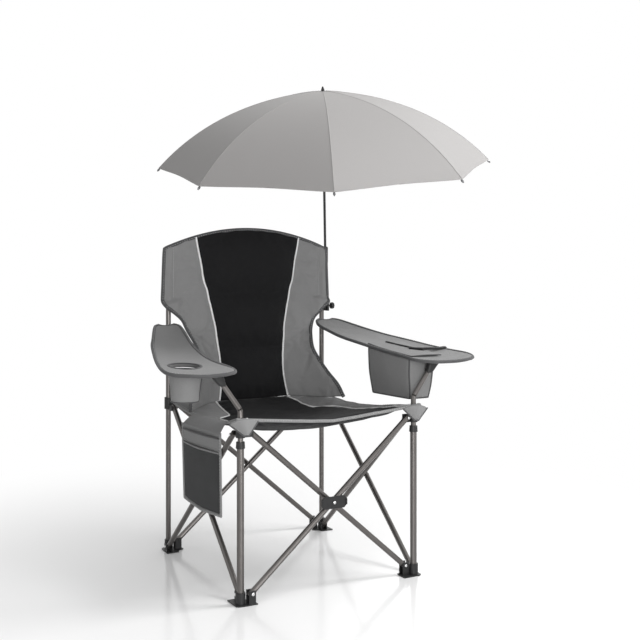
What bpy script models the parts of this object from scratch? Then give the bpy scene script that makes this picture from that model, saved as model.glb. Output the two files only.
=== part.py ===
# Folding camp chair with a clamp-on sunshade. Metres, +Z up, the sitter faces -Y.
import math

import bmesh
import bpy
from mathutils import Matrix, Vector

MM = 0.001

# Driving dimensions of the folding frame
POST_SPACING = 556 * MM
TUBE_RISE = 434 * MM
PIVOT_INSET = 28 * MM
TUBE_RADIUS = 8 * MM
TUBE_GAP = 2.4 * MM
TUBE_END = 9 * MM
FRONT_PIVOT_HEIGHT = 30 * MM
SIDE_PIVOT_HEIGHT = 19 * MM
PIN_RADIUS = 2.5 * MM
PIN_HEAD_RADIUS = 5 * MM
PIN_HEAD = 1.6 * MM
GAP = 0.3 * MM
OVERRUN = 2 * MM

# Posts and what slides on them
FRONT_POST_RADIUS = 9.8 * MM
REAR_POST_RADIUS = 8 * MM
ARM_TUBE_RADIUS = 7.5 * MM
FRONT_POST_TOP = 434 * MM
REAR_POST_TOP = 885 * MM
ARM_TUBE_BOTTOM = 200 * MM
COLLAR_RADIUS = 12.6 * MM
COLLAR_HEIGHT = 18 * MM
COLLAR_LIP = 2.5 * MM
SLEEVE_RADIUS = 12.6 * MM
SLEEVE_HEIGHT = 36 * MM
SLEEVE_LOW_WALL = 7.5 * MM
LUG_LENGTH = 37 * MM
LUG_THICKNESS = 4.6 * MM

# Foot
SOLE_THICKNESS = 3 * MM
SOLE_OUT = 18 * MM
SOLE_IN = 43 * MM
SOCKET_WALL = 3.6 * MM
SOCKET_HEIGHT = 33 * MM
CHEEK_THICKNESS = 2.2 * MM
CHEEK_START = 17 * MM
CHEEK_ABOVE = 8.5 * MM

# Hub plate on the front crossing
HUB_LENGTH = 80 * MM
HUB_HEIGHT = 34 * MM
HUB_THICKNESS = 3 * MM
HUB_FLANGE = 6 * MM

# Seat
SEAT_FRONT_CORNER_HEIGHT = 500 * MM
SEAT_REAR_CORNER_HEIGHT = 470 * MM
SEAT_FRONT_DIP = 26 * MM
SEAT_SIDE_DIP = 22 * MM
SEAT_SAG = 34 * MM
SEAT_CORNER_OUT = 17 * MM
SEAT_REAR_INSET = 24 * MM
SEAT_WAIST = 14 * MM
SEAT_PAD_HALF = 138 * MM
SEAT_PAD_THICKNESS = 17 * MM
CLOTH_THICKNESS = 5 * MM
SEAT_CORNER_THICKNESS = 12 * MM

# Back
BACK_TOP = 1019 * MM
BACK_CORNER_DROP = 68 * MM
BACK_HALF_WIDTH = 302 * MM
BACK_PLANE = 278 * MM
BACK_FOLD_DEPTH = 233 * MM
BACK_WING_REACH = 150 * MM
BACK_PAD_HALF = 186 * MM
BACK_PAD_THICKNESS = 22 * MM
BACK_WING_THICKNESS = 7 * MM
SLEEVE_POCKET_BOTTOM = 783 * MM
SLEEVE_POCKET_THICKNESS = 20 * MM
SLEEVE_POCKET_WIDTH = 25 * MM

# Armrests
ARM_REAR_HEIGHT = 718 * MM
ARM_SLOPE = 0.16
ARM_THICKNESS = 11 * MM
ARM_BEND_HEIGHT = 512 * MM
ARM_BEND_RADIUS = 30 * MM
ARM_LEAN = 36.0
ARM_FRONT = 318 * MM
ARM_REACH = 494 * MM
ARM_DISH = 9 * MM

# Cup holder
CUP_RADIUS = 45 * MM
CUP_BOTTOM_RADIUS = 37 * MM
CUP_HEIGHT = 88 * MM
CUP_WALL = 2.5 * MM
CUP_SIDE = 408 * MM
CUP_FORWARD = 203 * MM

# Cooler bag and its lid
BAG_INNER = 250 * MM
BAG_WIDTH = 88 * MM
BAG_REAR = 68 * MM
BAG_LENGTH = 190 * MM
BAG_BOTTOM = 510 * MM
BAG_WALL = 3 * MM
BAG_TAPER = 9 * MM
BAG_FLARE = 0.14
LID_MARGIN = 7 * MM
LID_WIDTH = 128 * MM
LID_THICKNESS = 3 * MM

# Side pocket
POCKET_REAR = 98 * MM
POCKET_FRONT = 188 * MM
POCKET_TOP = 447 * MM
POCKET_BOTTOM = 208 * MM
POCKET_TAPER = 16 * MM
POCKET_RISE = 14 * MM
POCKET_THICKNESS = 14 * MM
POCKET_WALL = 2.5 * MM

# Clamp
CLAMP_BOTTOM = 744 * MM
CLAMP_HEIGHT = 34 * MM
CLAMP_WALL = 6.5 * MM
CLAMP_DEPTH = 24 * MM
CLAMP_THROAT = 8.5 * MM
JAW_THICKNESS = 4.2 * MM
JAW_TRAVEL = 3.5 * MM
SCREW_RADIUS = 3 * MM
SCREW_SOCKET = 2 * MM
KNOB_RADIUS = 11 * MM
KNOB_LENGTH = 11 * MM
KNOB_STANDOFF = JAW_TRAVEL + 9 * MM
KNOB_LOBES = 8
KNOB_LOBE_DEPTH = 1.2 * MM
POLE_OFFSET_X = 24.3 * MM
POLE_OFFSET_Y = 17.6 * MM
POLE_RADIUS = 6.5 * MM
POLE_SLEEVE_WALL = 3.4 * MM
POLE_TOP = 930 * MM
POLE_PLUG = 4 * MM

# Tilt collar and shaft
TILT_COLLAR_BOTTOM = 908 * MM
TILT_COLLAR_RADIUS = 9.6 * MM
TILT_HEIGHT = 955 * MM
TILT_LEAN = 13.35
TILT_AZIMUTH = -122.9
TILT_CHEEK = 3.4 * MM
TILT_TONGUE = 9.4 * MM
TILT_EYE_RADIUS = 9 * MM
SHAFT_RADIUS = 4.3 * MM
SHAFT_LENGTH = 541 * MM
CATCH_HEIGHT = 162 * MM
CATCH_LENGTH = 16 * MM
CATCH_WIDTH = 3 * MM
CATCH_DEPTH = 5.4 * MM
CATCH_TRAVEL = 2.2 * MM
CATCH_STANDOUT = 2.6 * MM

# Sunshade
RIB_COUNT = 8
RIB_AZIMUTH = -116.2
RIB_HINGE_RADIUS = 12.3 * MM
RIB_ARC_RADIUS = 750 * MM
RIB_ARC = 46.5
RIB_RADIUS = 1.7 * MM
RIB_TIP_RADIUS = 4 * MM
RIB_TIP_LENGTH = 12 * MM
STRETCHER_LENGTH = 175 * MM
STRETCHER_RADIUS = 1.5 * MM
CROWN_RADIUS = 9.6 * MM
CROWN_HEIGHT = 12 * MM
CROWN_BELOW_APEX = 12 * MM
FINIAL_RADIUS = 6.5 * MM
FINIAL_HEIGHT = 14 * MM
RUNNER_RADIUS = 9.4 * MM
RUNNER_HEIGHT = 24 * MM
CANOPY_THICKNESS = 1.5 * MM
CANOPY_CLEARANCE = 2.6 * MM
CANOPY_SAG = 16 * MM
CANOPY_HEM_ARCH = 26 * MM

HALF = POST_SPACING / 2
ARM_REAR = HALF - REAR_POST_RADIUS - GAP
TUBE_OFFSET = TUBE_RADIUS + TUBE_GAP / 2
BORE_RADIUS = PIN_RADIUS + GAP
UPPER_FRONT_PIVOT = FRONT_PIVOT_HEIGHT + TUBE_RISE
UPPER_SIDE_PIVOT = SIDE_PIVOT_HEIGHT + TUBE_RISE
SLEEVE_BOTTOM = UPPER_SIDE_PIVOT - SLEEVE_LOW_WALL + COLLAR_LIP

COLOURS = {
    "tube": ((0.20, 0.18, 0.17), 0.35, 1.0),
    "silver": ((0.55, 0.55, 0.56), 0.3, 1.0),
    "moulding": ((0.015, 0.015, 0.016), 0.45, 0.0),
    "grey_cloth": ((0.21, 0.21, 0.21), 0.85, 0.0),
    "dark_cloth": ((0.02, 0.02, 0.022), 0.85, 0.0),
    "shade_cloth": ((0.42, 0.41, 0.41), 0.7, 0.0),
    "wire": ((0.05, 0.05, 0.05), 0.4, 1.0),
}


def clear_scene():
    for thing in list(bpy.data.objects):
        bpy.data.objects.remove(thing, do_unlink=True)


def finish(name):
    found = bpy.data.materials.get(name)
    if found:
        return found
    colour, roughness, metallic = COLOURS[name]
    made = bpy.data.materials.new(name)
    made.use_nodes = True
    shader = made.node_tree.nodes["Principled BSDF"]
    shader.inputs["Base Color"].default_value = (*colour, 1.0)
    shader.inputs["Roughness"].default_value = roughness
    shader.inputs["Metallic"].default_value = metallic
    made.diffuse_color = (*colour, 1.0)
    return made


class Pivot:
    """An empty on a joint's axis; what is built for it is given in world coordinates."""

    def __init__(self, name, place, parent=None):
        self.place = Vector(place)
        self.empty = bpy.data.objects.new(name, None)
        bpy.context.scene.collection.objects.link(self.empty)
        if parent:
            self.empty.parent = parent.empty
            self.empty.location = self.place - parent.place
        else:
            self.empty.location = self.place


def solid(name, shape, pivot, colour):
    """Turns a bmesh in world coordinates into an object that hangs on its pivot."""
    bmesh.ops.recalc_face_normals(shape, faces=shape.faces)
    bmesh.ops.translate(shape, verts=shape.verts, vec=-pivot.place)
    mesh = bpy.data.meshes.new(name)
    shape.to_mesh(mesh)
    shape.free()
    mesh.materials.append(finish(colour))
    made = bpy.data.objects.new(name, mesh)
    bpy.context.scene.collection.objects.link(made)
    made.parent = pivot.empty
    smooth(mesh)
    return made


def smooth(mesh):
    mesh.shade_smooth()
    mesh.set_sharp_from_angle(angle=math.radians(35))


def combine(made, shapes, operation, pivot, colour):
    """Joins or cuts an object with bmesh shapes, one Boolean each, and keeps the result."""
    for shape in shapes:
        tool = solid(made.name + "_tool", shape, pivot, colour)
        tool.hide_render = True
        tool.display_type = "WIRE"
        step = made.modifiers.new(operation.lower(), "BOOLEAN")
        step.operation = operation
        step.object = tool
        bpy.context.view_layer.update()
        graph = bpy.context.evaluated_depsgraph_get()
        result = bpy.data.meshes.new_from_object(made.evaluated_get(graph))
        made.modifiers.clear()
        made.data = result
        bpy.data.objects.remove(tool, do_unlink=True)
    smooth(made.data)
    return made


def axes_for(direction):
    """Two unit vectors square to a direction, the first as level as can be."""
    along = Vector(direction).normalized()
    guide = Vector((0, 0, 1)) if abs(along.z) < 0.9 else Vector((0, 1, 0))
    side = guide.cross(along).normalized()
    return side, along.cross(side)


def lofted(rings):
    """A closed skin through rings of points, capped at both ends."""
    shape = bmesh.new()
    rows = [[shape.verts.new(point) for point in ring] for ring in rings]
    count = len(rows[0])
    for low, high in zip(rows, rows[1:]):
        for i in range(count):
            j = (i + 1) % count
            shape.faces.new((low[i], low[j], high[j], high[i]))
    shape.faces.new(rows[0][::-1])
    shape.faces.new(rows[-1])
    return shape


def circle(centre, side, up, radius, sides):
    return [
        centre + side * (radius * math.cos(a)) + up * (radius * math.sin(a))
        for a in (2 * math.pi * i / sides for i in range(sides))
    ]


def rod(start, end, radius, sides=12):
    start, end = Vector(start), Vector(end)
    side, up = axes_for(end - start)
    return lofted([circle(p, side, up, radius, sides) for p in (start, end)])


def turned(base, direction, profile, sides=16):
    """A round body: profile holds (distance along the axis, radius) pairs."""
    base = Vector(base)
    along = Vector(direction).normalized()
    side, up = axes_for(along)
    return lofted([circle(base + along * d, side, up, r, sides) for d, r in profile])


def pipe(points, radii, sides=8):
    """A round bar through a line of points, with one radius for each."""
    points = [Vector(p) for p in points]
    rings = []
    for i, point in enumerate(points):
        ahead = points[min(i + 1, len(points) - 1)] - points[max(i - 1, 0)]
        side, up = axes_for(ahead)
        rings.append(circle(point, side, up, radii[i], sides))
    return lofted(rings)


def block(low, high):
    shape = bmesh.new()
    bmesh.ops.create_cube(shape, size=1)
    low, high = Vector(low), Vector(high)
    for vert in shape.verts:
        share = vert.co + Vector((0.5, 0.5, 0.5))
        vert.co = Vector(low[k] + (high[k] - low[k]) * share[k] for k in range(3))
    return shape


def prism(outline, offset):
    """A flat plate: the outline's points, and the vector that its thickness follows."""
    offset = Vector(offset)
    return lofted([[Vector(p) for p in outline], [Vector(p) + offset for p in outline]])


class Corner:
    """One of the four corners. Two faces of the frame meet there, x_face along X and y_face along Y."""

    def __init__(self, x_sign, y_sign):
        self.x_sign, self.y_sign = x_sign, y_sign
        self.x, self.y = x_sign * HALF, y_sign * HALF

    def starts_x_face(self):
        """Whether this corner is the left end of the face along X, seen from outside."""
        return self.x_sign * self.y_sign > 0

    def point(self, inward_x, inward_y, height):
        """A place measured inward from the post along each face, outward being negative."""
        return Vector(
            (self.x - self.x_sign * inward_x, self.y - self.y_sign * inward_y, height)
        )

    def x_pivot(self, upper):
        side = -1 if self.starts_x_face() != upper else 1
        height = UPPER_FRONT_PIVOT if upper else FRONT_PIVOT_HEIGHT
        return self.point(PIVOT_INSET, side * TUBE_OFFSET, height)

    def y_pivot(self, upper):
        side = 1 if self.starts_x_face() != upper else -1
        height = UPPER_SIDE_PIVOT if upper else SIDE_PIVOT_HEIGHT
        return self.point(side * TUBE_OFFSET, PIVOT_INSET, height)


CORNERS = {
    "front_left": Corner(-1, -1),
    "front_right": Corner(1, -1),
    "rear_left": Corner(-1, 1),
    "rear_right": Corner(1, 1),
}


def cheek(corner, along_x, across, thickness, start, end, low, high):
    """An upright plate beside a tube end; across is where it starts, measured inward."""
    corners = [(start, low), (end, low), (end, high), (start, high)]
    if along_x:
        outline = [corner.point(s, across, z) for s, z in corners]
        offset = (0, -corner.y_sign * thickness, 0)
    else:
        outline = [corner.point(across, s, z) for s, z in corners]
        offset = (-corner.x_sign * thickness, 0, 0)
    return prism(outline, offset)


def tube_side(corner, along_x, upper):
    """+1 where the tube end lies on the inner side of its face, else -1."""
    pivot = corner.x_pivot(upper) if along_x else corner.y_pivot(upper)
    middle = corner.y if along_x else corner.x
    sign = corner.y_sign if along_x else corner.x_sign
    place = pivot.y if along_x else pivot.x
    return 1 if (middle - place) * sign > 0 else -1


def pin_shape(corner, along_x, upper, start, end, radius):
    """A pin square to a face through a tube's end, between two places measured inward."""
    pivot = corner.x_pivot(upper) if along_x else corner.y_pivot(upper)
    if along_x:
        ends = [(pivot.x, corner.y - corner.y_sign * s, pivot.z) for s in (start, end)]
    else:
        ends = [(corner.x - corner.x_sign * s, pivot.y, pivot.z) for s in (start, end)]
    return rod(ends[0], ends[1], radius, 10)


def make_foot(name, corner, pivot):
    post_radius = FRONT_POST_RADIUS if corner.y_sign < 0 else REAR_POST_RADIUS
    cut = SOLE_OUT / 3
    reach = SOLE_IN
    width = TUBE_OFFSET + TUBE_RADIUS + GAP + CHEEK_THICKNESS
    plan = [
        (-SOLE_OUT + cut, -SOLE_OUT),
        (reach, -width),
        (reach, width),
        (width + cut, width + cut),
        (width, reach),
        (-width, reach),
        (-SOLE_OUT, -SOLE_OUT + cut),
    ]
    outline = [corner.point(a, b, 0) for a, b in plan]
    foot = solid(name, prism(outline, (0, 0, SOLE_THICKNESS)), pivot, "moulding")
    socket_radius = post_radius + GAP + SOCKET_WALL
    half = SOLE_THICKNESS / 2
    shapes = [
        rod(corner.point(0, 0, half), corner.point(0, 0, SOCKET_HEIGHT), socket_radius, 16)
    ]
    for along_x in (True, False):
        side = tube_side(corner, along_x, False)
        height = FRONT_PIVOT_HEIGHT if along_x else SIDE_PIVOT_HEIGHT
        near = side * TUBE_OFFSET - TUBE_RADIUS - GAP
        far = side * TUBE_OFFSET + TUBE_RADIUS + GAP
        top = height + CHEEK_ABOVE
        end = PIVOT_INSET + TUBE_END
        for start in (near - CHEEK_THICKNESS, far):
            shapes.append(
                cheek(corner, along_x, start, CHEEK_THICKNESS, CHEEK_START, end, half, top)
            )
        outside = near - CHEEK_THICKNESS - PIN_HEAD
        inside = far + CHEEK_THICKNESS + PIN_HEAD
        shapes.append(pin_shape(corner, along_x, False, outside, inside, PIN_RADIUS))
        shapes.append(
            pin_shape(
                corner, along_x, False, outside, near - CHEEK_THICKNESS / 2, PIN_HEAD_RADIUS
            )
        )
    combine(foot, shapes, "UNION", pivot, "moulding")
    bore = rod(
        corner.point(0, 0, SOLE_THICKNESS),
        corner.point(0, 0, SOCKET_HEIGHT + OVERRUN),
        post_radius + GAP,
        16,
    )
    return combine(foot, [bore], "DIFFERENCE", pivot, "moulding")


def make_bracket(name, corner, pivot):
    """The sleeve that carries two upper tube ends, round a rear post or an arm tube."""
    post_radius = ARM_TUBE_RADIUS if corner.y_sign < 0 else REAR_POST_RADIUS
    top = SLEEVE_BOTTOM + SLEEVE_HEIGHT
    sleeve = rod(corner.point(0, 0, SLEEVE_BOTTOM), corner.point(0, 0, top), SLEEVE_RADIUS, 16)
    made = solid(name, sleeve, pivot, "moulding")
    shapes = []
    for along_x in (True, False):
        side = tube_side(corner, along_x, True)
        face = side * TUBE_GAP / 2 - side * GAP
        start = face - LUG_THICKNESS if side > 0 else face
        low = SLEEVE_BOTTOM if along_x else SLEEVE_BOTTOM - COLLAR_LIP
        near_post = SLEEVE_RADIUS / 2 if along_x else SLEEVE_RADIUS - MM
        high = (UPPER_FRONT_PIVOT if along_x else UPPER_SIDE_PIVOT) + CHEEK_ABOVE
        shapes.append(
            cheek(corner, along_x, start, LUG_THICKNESS, near_post, LUG_LENGTH, low, high)
        )
        outer = side * (TUBE_OFFSET + TUBE_RADIUS + GAP)
        head = outer + side * PIN_HEAD
        middle = face - side * LUG_THICKNESS / 2
        shapes.append(pin_shape(corner, along_x, True, middle, head, PIN_RADIUS))
        shapes.append(pin_shape(corner, along_x, True, outer, head, PIN_HEAD_RADIUS))
    combine(made, shapes, "UNION", pivot, "moulding")
    bore = rod(
        corner.point(0, 0, SLEEVE_BOTTOM - OVERRUN),
        corner.point(0, 0, top + OVERRUN),
        post_radius + GAP,
        16,
    )
    return combine(made, [bore], "DIFFERENCE", pivot, "moulding")


def make_post(name, corner, pivot):
    """Front posts are open pipes for the arm tubes; rear posts run up into the back's sleeves."""
    bottom = SOLE_THICKNESS + GAP
    if corner.y_sign > 0:
        post = rod(
            corner.point(0, 0, bottom), corner.point(0, 0, REAR_POST_TOP), REAR_POST_RADIUS, 16
        )
        return solid(name, post, pivot, "tube")
    post = rod(
        corner.point(0, 0, bottom), corner.point(0, 0, FRONT_POST_TOP), FRONT_POST_RADIUS, 16
    )
    made = solid(name, post, pivot, "tube")
    bore = rod(
        corner.point(0, 0, bottom - OVERRUN),
        corner.point(0, 0, FRONT_POST_TOP + OVERRUN),
        ARM_TUBE_RADIUS + GAP,
        16,
    )
    return combine(made, [bore], "DIFFERENCE", pivot, "tube")


def make_collar(name, corner, pivot):
    top = FRONT_POST_TOP + GAP + COLLAR_LIP
    bottom = top - COLLAR_HEIGHT
    made = solid(
        name,
        turned(
            corner.point(0, 0, bottom),
            (0, 0, 1),
            [(0, COLLAR_RADIUS - MM), (MM, COLLAR_RADIUS), (top - bottom, COLLAR_RADIUS - MM)],
        ),
        pivot,
        "moulding",
    )
    cuts = [
        rod(
            corner.point(0, 0, bottom - OVERRUN),
            corner.point(0, 0, FRONT_POST_TOP + GAP),
            FRONT_POST_RADIUS + GAP,
            16,
        ),
        rod(
            corner.point(0, 0, bottom),
            corner.point(0, 0, top + OVERRUN),
            ARM_TUBE_RADIUS + GAP,
            16,
        ),
    ]
    return combine(made, cuts, "DIFFERENCE", pivot, "moulding")


def make_cross_tube(name, low, high, pivot, square, has_pin):
    """One tube from its low pivot to its high one; square points from it to its partner."""
    low, high, square = Vector(low), Vector(high), Vector(square).normalized()
    along = (high - low).normalized()
    tube = rod(low - along * TUBE_END, high + along * TUBE_END, TUBE_RADIUS)
    made = solid(name, tube, pivot, "tube")
    reach = square * (TUBE_RADIUS + OVERRUN)
    middle = (low + high) / 2
    bored = [low, high] if has_pin else [low, high, middle]
    cuts = [rod(p - reach, p + reach, BORE_RADIUS, 10) for p in bored]
    combine(made, cuts, "DIFFERENCE", pivot, "tube")
    if not has_pin:
        return made
    far = middle + square * (TUBE_OFFSET * 2 + TUBE_RADIUS + GAP)
    head = far + square * PIN_HEAD
    pins = [rod(middle, head, PIN_RADIUS, 10), rod(far, head, PIN_HEAD_RADIUS, 10)]
    return combine(made, pins, "UNION", pivot, "tube")


def make_hub(pivot):
    """The plate that backs the front crossing, with a flange over and under it."""
    face = -HALF - TUBE_OFFSET - TUBE_RADIUS - GAP
    height = FRONT_PIVOT_HEIGHT + TUBE_RISE / 2
    half, tall = HUB_LENGTH / 2, HUB_HEIGHT / 2
    cut = HUB_HEIGHT / 4
    outline = [
        (-half + cut, face, height - tall),
        (half - cut, face, height - tall),
        (half, face, height - tall + cut),
        (half, face, height + tall - cut),
        (half - cut, face, height + tall),
        (-half + cut, face, height + tall),
        (-half, face, height + tall - cut),
        (-half, face, height - tall + cut),
    ]
    plate = prism(outline, (0, -HUB_THICKNESS, 0))
    made = solid("hub_bracket", plate, pivot, "moulding")
    flanges = []
    for x_sign in (-1, 1):
        inner = half - HUB_THICKNESS
        low_x, high_x = sorted((x_sign * inner, x_sign * half))
        flanges.append(
            block(
                (low_x, face - HUB_FLANGE, height - tall + cut),
                (high_x, face - HUB_THICKNESS / 2, height + tall - cut),
            )
        )
    rivet = rod(
        (0, face - HUB_THICKNESS / 2, height),
        (0, face - HUB_THICKNESS - PIN_HEAD, height),
        PIN_HEAD_RADIUS,
        12,
    )
    return combine(made, flanges + [rivet], "UNION", pivot, "moulding")


def arm_height(y):
    """Height of the armrest's top along its length."""
    return ARM_REAR_HEIGHT + ARM_SLOPE * (y - HALF)


def make_arm_tube(name, corner, pivot):
    lean = math.radians(ARM_LEAN)
    top_under = -GAP - ARM_THICKNESS
    path = [corner.point(0, 0, ARM_TUBE_BOTTOM), corner.point(0, 0, ARM_BEND_HEIGHT)]
    centre_out = -ARM_BEND_RADIUS
    steps = 5
    for i in range(1, steps + 1):
        a = lean * i / steps
        path.append(
            corner.point(
                centre_out + ARM_BEND_RADIUS * math.cos(a),
                0,
                ARM_BEND_HEIGHT + ARM_BEND_RADIUS * math.sin(a),
            )
        )
    rise = Vector((corner.x_sign * math.sin(lean), 0, math.cos(lean)))
    last = path[-1]
    flat = ARM_TUBE_RADIUS * math.sin(lean)
    dish = ARM_DISH
    room = arm_height(last.y) + top_under - flat - dish - last.z
    path.append(last + rise * (room / math.cos(lean)))
    tube = pipe(path, [ARM_TUBE_RADIUS] * len(path), 12)
    return solid(name, tube, pivot, "tube")


# Armrest outlines: how far forward, then inner and outer edge, all as shares
LEFT_ARM_SHARES = [
    (0.00, 0.508, 0.664),
    (0.12, 0.525, 0.716),
    (0.25, 0.558, 0.775),
    (0.38, 0.592, 0.835),
    (0.52, 0.618, 0.885),
    (0.66, 0.632, 0.930),
    (0.79, 0.628, 0.966),
    (0.88, 0.610, 0.985),
    (0.94, 0.600, 0.975),
    (0.98, 0.625, 0.930),
    (1.00, 0.670, 0.870),
]
RIGHT_ARM_SHARES = [
    (0.00, 0.508, 0.664),
    (0.12, 0.456, 0.704),
    (0.25, 0.449, 0.742),
    (0.38, 0.452, 0.788),
    (0.52, 0.486, 0.860),
    (0.66, 0.518, 0.918),
    (0.79, 0.537, 0.966),
    (0.88, 0.549, 1.000),
    (0.94, 0.562, 0.992),
    (0.98, 0.600, 0.940),
    (1.00, 0.650, 0.880),
]


def arm_edges(x_sign):
    """(y, inner x, outer x) along an armrest, from the rear to the front."""
    length = ARM_REAR + ARM_FRONT
    shares = RIGHT_ARM_SHARES if x_sign > 0 else LEFT_ARM_SHARES
    return [(ARM_REAR - length * f, ARM_REACH * a, ARM_REACH * b) for f, a, b in shares]


def arm_dish(share, forward):
    """The cloth hangs lower between its edges, most at the rear half."""
    return -ARM_DISH * (1 - (2 * share - 1) ** 2) * (1 - 0.75 * forward)


def arm_section(share):
    """Thickness of the armrest across its width."""
    bulge = math.sin(math.pi * min(max(share, 0), 1)) ** 0.5
    return ARM_THICKNESS * (0.45 + 0.55 * bulge)


def arm_under(x, y):
    """Height of an armrest's underside above a place."""
    edges = arm_edges(math.copysign(1, x))
    for (y1, in1, out1), (y2, in2, out2) in zip(edges, edges[1:]):
        if y >= y2:
            break
    along = (y1 - y) / (y1 - y2)
    inner, outer = in1 + (in2 - in1) * along, out1 + (out2 - out1) * along
    share = min(max((abs(x) - inner) / (outer - inner), 0), 1)
    forward = (ARM_REAR - y) / (ARM_REAR + ARM_FRONT)
    return arm_height(y) + arm_dish(share, forward) - arm_section(share)


def make_armrest(name, x_sign, pivot, cuts):
    columns = 9
    edges = arm_edges(x_sign)
    length = ARM_REAR + ARM_FRONT
    rings = []
    for y, inner, outer in edges:
        forward = (ARM_REAR - y) / length
        top, bottom = [], []
        for i in range(columns):
            share = i / (columns - 1)
            x = x_sign * (inner + (outer - inner) * share)
            z = arm_height(y) + arm_dish(share, forward)
            top.append(Vector((x, y, z)))
            bottom.append(Vector((x, y, z - arm_section(share))))
        rings.append(top + bottom[::-1])
    made = solid(name, lofted(rings), pivot, "grey_cloth")
    return combine(made, cuts, "DIFFERENCE", pivot, "grey_cloth")


def cup_centre():
    return Vector((-CUP_SIDE, -CUP_FORWARD, 0))


def cup_bottom():
    return arm_height(-CUP_FORWARD) - ARM_THICKNESS - CUP_HEIGHT


# Cup wall from the base up: share of its height, share of the way from base to rim radius
CUP_WALL_SHARES = [(0.00, -0.30), (0.04, 0.00), (0.55, 0.62), (1.00, 1.00)]


def cup_shape(inset, lift):
    """The cup's skin; its rim follows the underside of the armrest."""
    centre = cup_centre()
    sides = 24
    rings = []
    for height, spread in CUP_WALL_SHARES:
        radius = CUP_BOTTOM_RADIUS + (CUP_RADIUS - CUP_BOTTOM_RADIUS) * spread - inset
        ring = []
        for i in range(sides):
            a = 2 * math.pi * i / sides
            x, y = centre.x + radius * math.cos(a), centre.y + radius * math.sin(a)
            rim = arm_under(x, y) - GAP * 2 + lift
            bottom = cup_bottom() + inset
            ring.append(Vector((x, y, bottom + (rim - bottom) * height)))
        rings.append(ring)
    return lofted(rings)


def make_cup_holder(pivot):
    made = solid("cup_holder", cup_shape(0, 0), pivot, "grey_cloth")
    return combine(made, [cup_shape(CUP_WALL, OVERRUN)], "DIFFERENCE", pivot, "grey_cloth")


def subdivided(outline, parts):
    """The outline with each side cut into equal parts."""
    found = []
    for (x1, y1), (x2, y2) in zip(outline, outline[1:] + outline[:1]):
        for i in range(parts):
            share = i / parts
            found.append((x1 + (x2 - x1) * share, y1 + (y2 - y1) * share))
    return found


def bag_flare(y):
    """How far outward the bag leans at y, as the armrest above it does."""
    return BAG_FLARE * (-BAG_REAR - y)


def bag_rings(inset, low, lift):
    """Four-sided rings of the bag from its bottom to its sloped mouth."""
    middle_x = BAG_INNER + BAG_WIDTH / 2
    middle_y = -BAG_REAR - BAG_LENGTH / 2
    corner = 0.3
    rings = []
    for share in (0, 0.25, 0.6, 1):
        taper = BAG_TAPER * (1 - share) ** 2
        half_x = BAG_WIDTH / 2 - inset - taper
        half_y = BAG_LENGTH / 2 - inset - taper
        outline = []
        for x_sign, y_sign in ((-1, -1), (1, -1), (1, 1), (-1, 1)):
            pull = half_x * corner
            first = (x_sign * half_x, y_sign * (half_y - pull))
            second = (x_sign * (half_x - pull), y_sign * half_y)
            pair = (first, second) if x_sign * y_sign > 0 else (second, first)
            outline.extend(pair)
        outline = subdivided(outline, 4)
        ring = []
        for x, y in outline:
            place = Vector((middle_x + x + bag_flare(middle_y + y), middle_y + y, 0))
            mouth = arm_under(place.x, place.y) - GAP * 3 + lift
            bottom = BAG_BOTTOM + low
            place.z = bottom + (mouth - bottom) * share
            ring.append(place)
        rings.append(ring)
    return rings


def make_bag(pivot):
    made = solid("cooler_bag", lofted(bag_rings(0, 0, 0)), pivot, "grey_cloth")
    inner = lofted(bag_rings(BAG_WALL, BAG_WALL, OVERRUN))
    return combine(made, [inner], "DIFFERENCE", pivot, "grey_cloth")


def bag_mouth():
    """The opening through the right armrest into the bag."""
    inset = LID_MARGIN + BAG_WALL
    low = BAG_BOTTOM + BAG_WALL
    rear, front = -BAG_REAR - inset, -BAG_REAR - BAG_LENGTH + inset
    inner, outer = BAG_INNER + inset + LID_MARGIN, BAG_INNER + BAG_WIDTH - inset
    outline = [
        (inner + bag_flare(front), front, low),
        (outer + bag_flare(front), front, low),
        (outer + bag_flare(rear), rear, low),
        (inner + bag_flare(rear), rear, low),
    ]
    return prism(outline, (0, 0, ARM_REAR_HEIGHT + OVERRUN - low))


def lid_hinge():
    """The lid turns about its outer edge, which slopes with the armrest."""
    return Vector((BAG_INNER + LID_MARGIN + LID_WIDTH, -BAG_REAR - BAG_LENGTH / 2, 0))


def make_lid(pivot):
    rear = -BAG_REAR + LID_MARGIN
    front = -BAG_REAR - BAG_LENGTH - LID_MARGIN
    inner = BAG_INNER + LID_MARGIN
    outer = inner + LID_WIDTH
    stations = 5
    rings = []
    for i in range(stations):
        y = rear + (front - rear) * i / (stations - 1)
        low = arm_height(y) + GAP
        shrink = LID_MARGIN if i in (0, stations - 1) else 0
        slope_out = LID_MARGIN * i / (stations - 1)
        left, right = inner + shrink + slope_out, outer - shrink
        rings.append(
            [
                Vector((left, y, low)),
                Vector((right, y, low)),
                Vector((right, y, low + LID_THICKNESS * 0.8)),
                Vector(((left + right) / 2, y, low + LID_THICKNESS)),
                Vector((left, y, low + LID_THICKNESS * 0.8)),
            ]
        )
    return solid("cooler_lid", lofted(rings), pivot, "grey_cloth")


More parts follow.
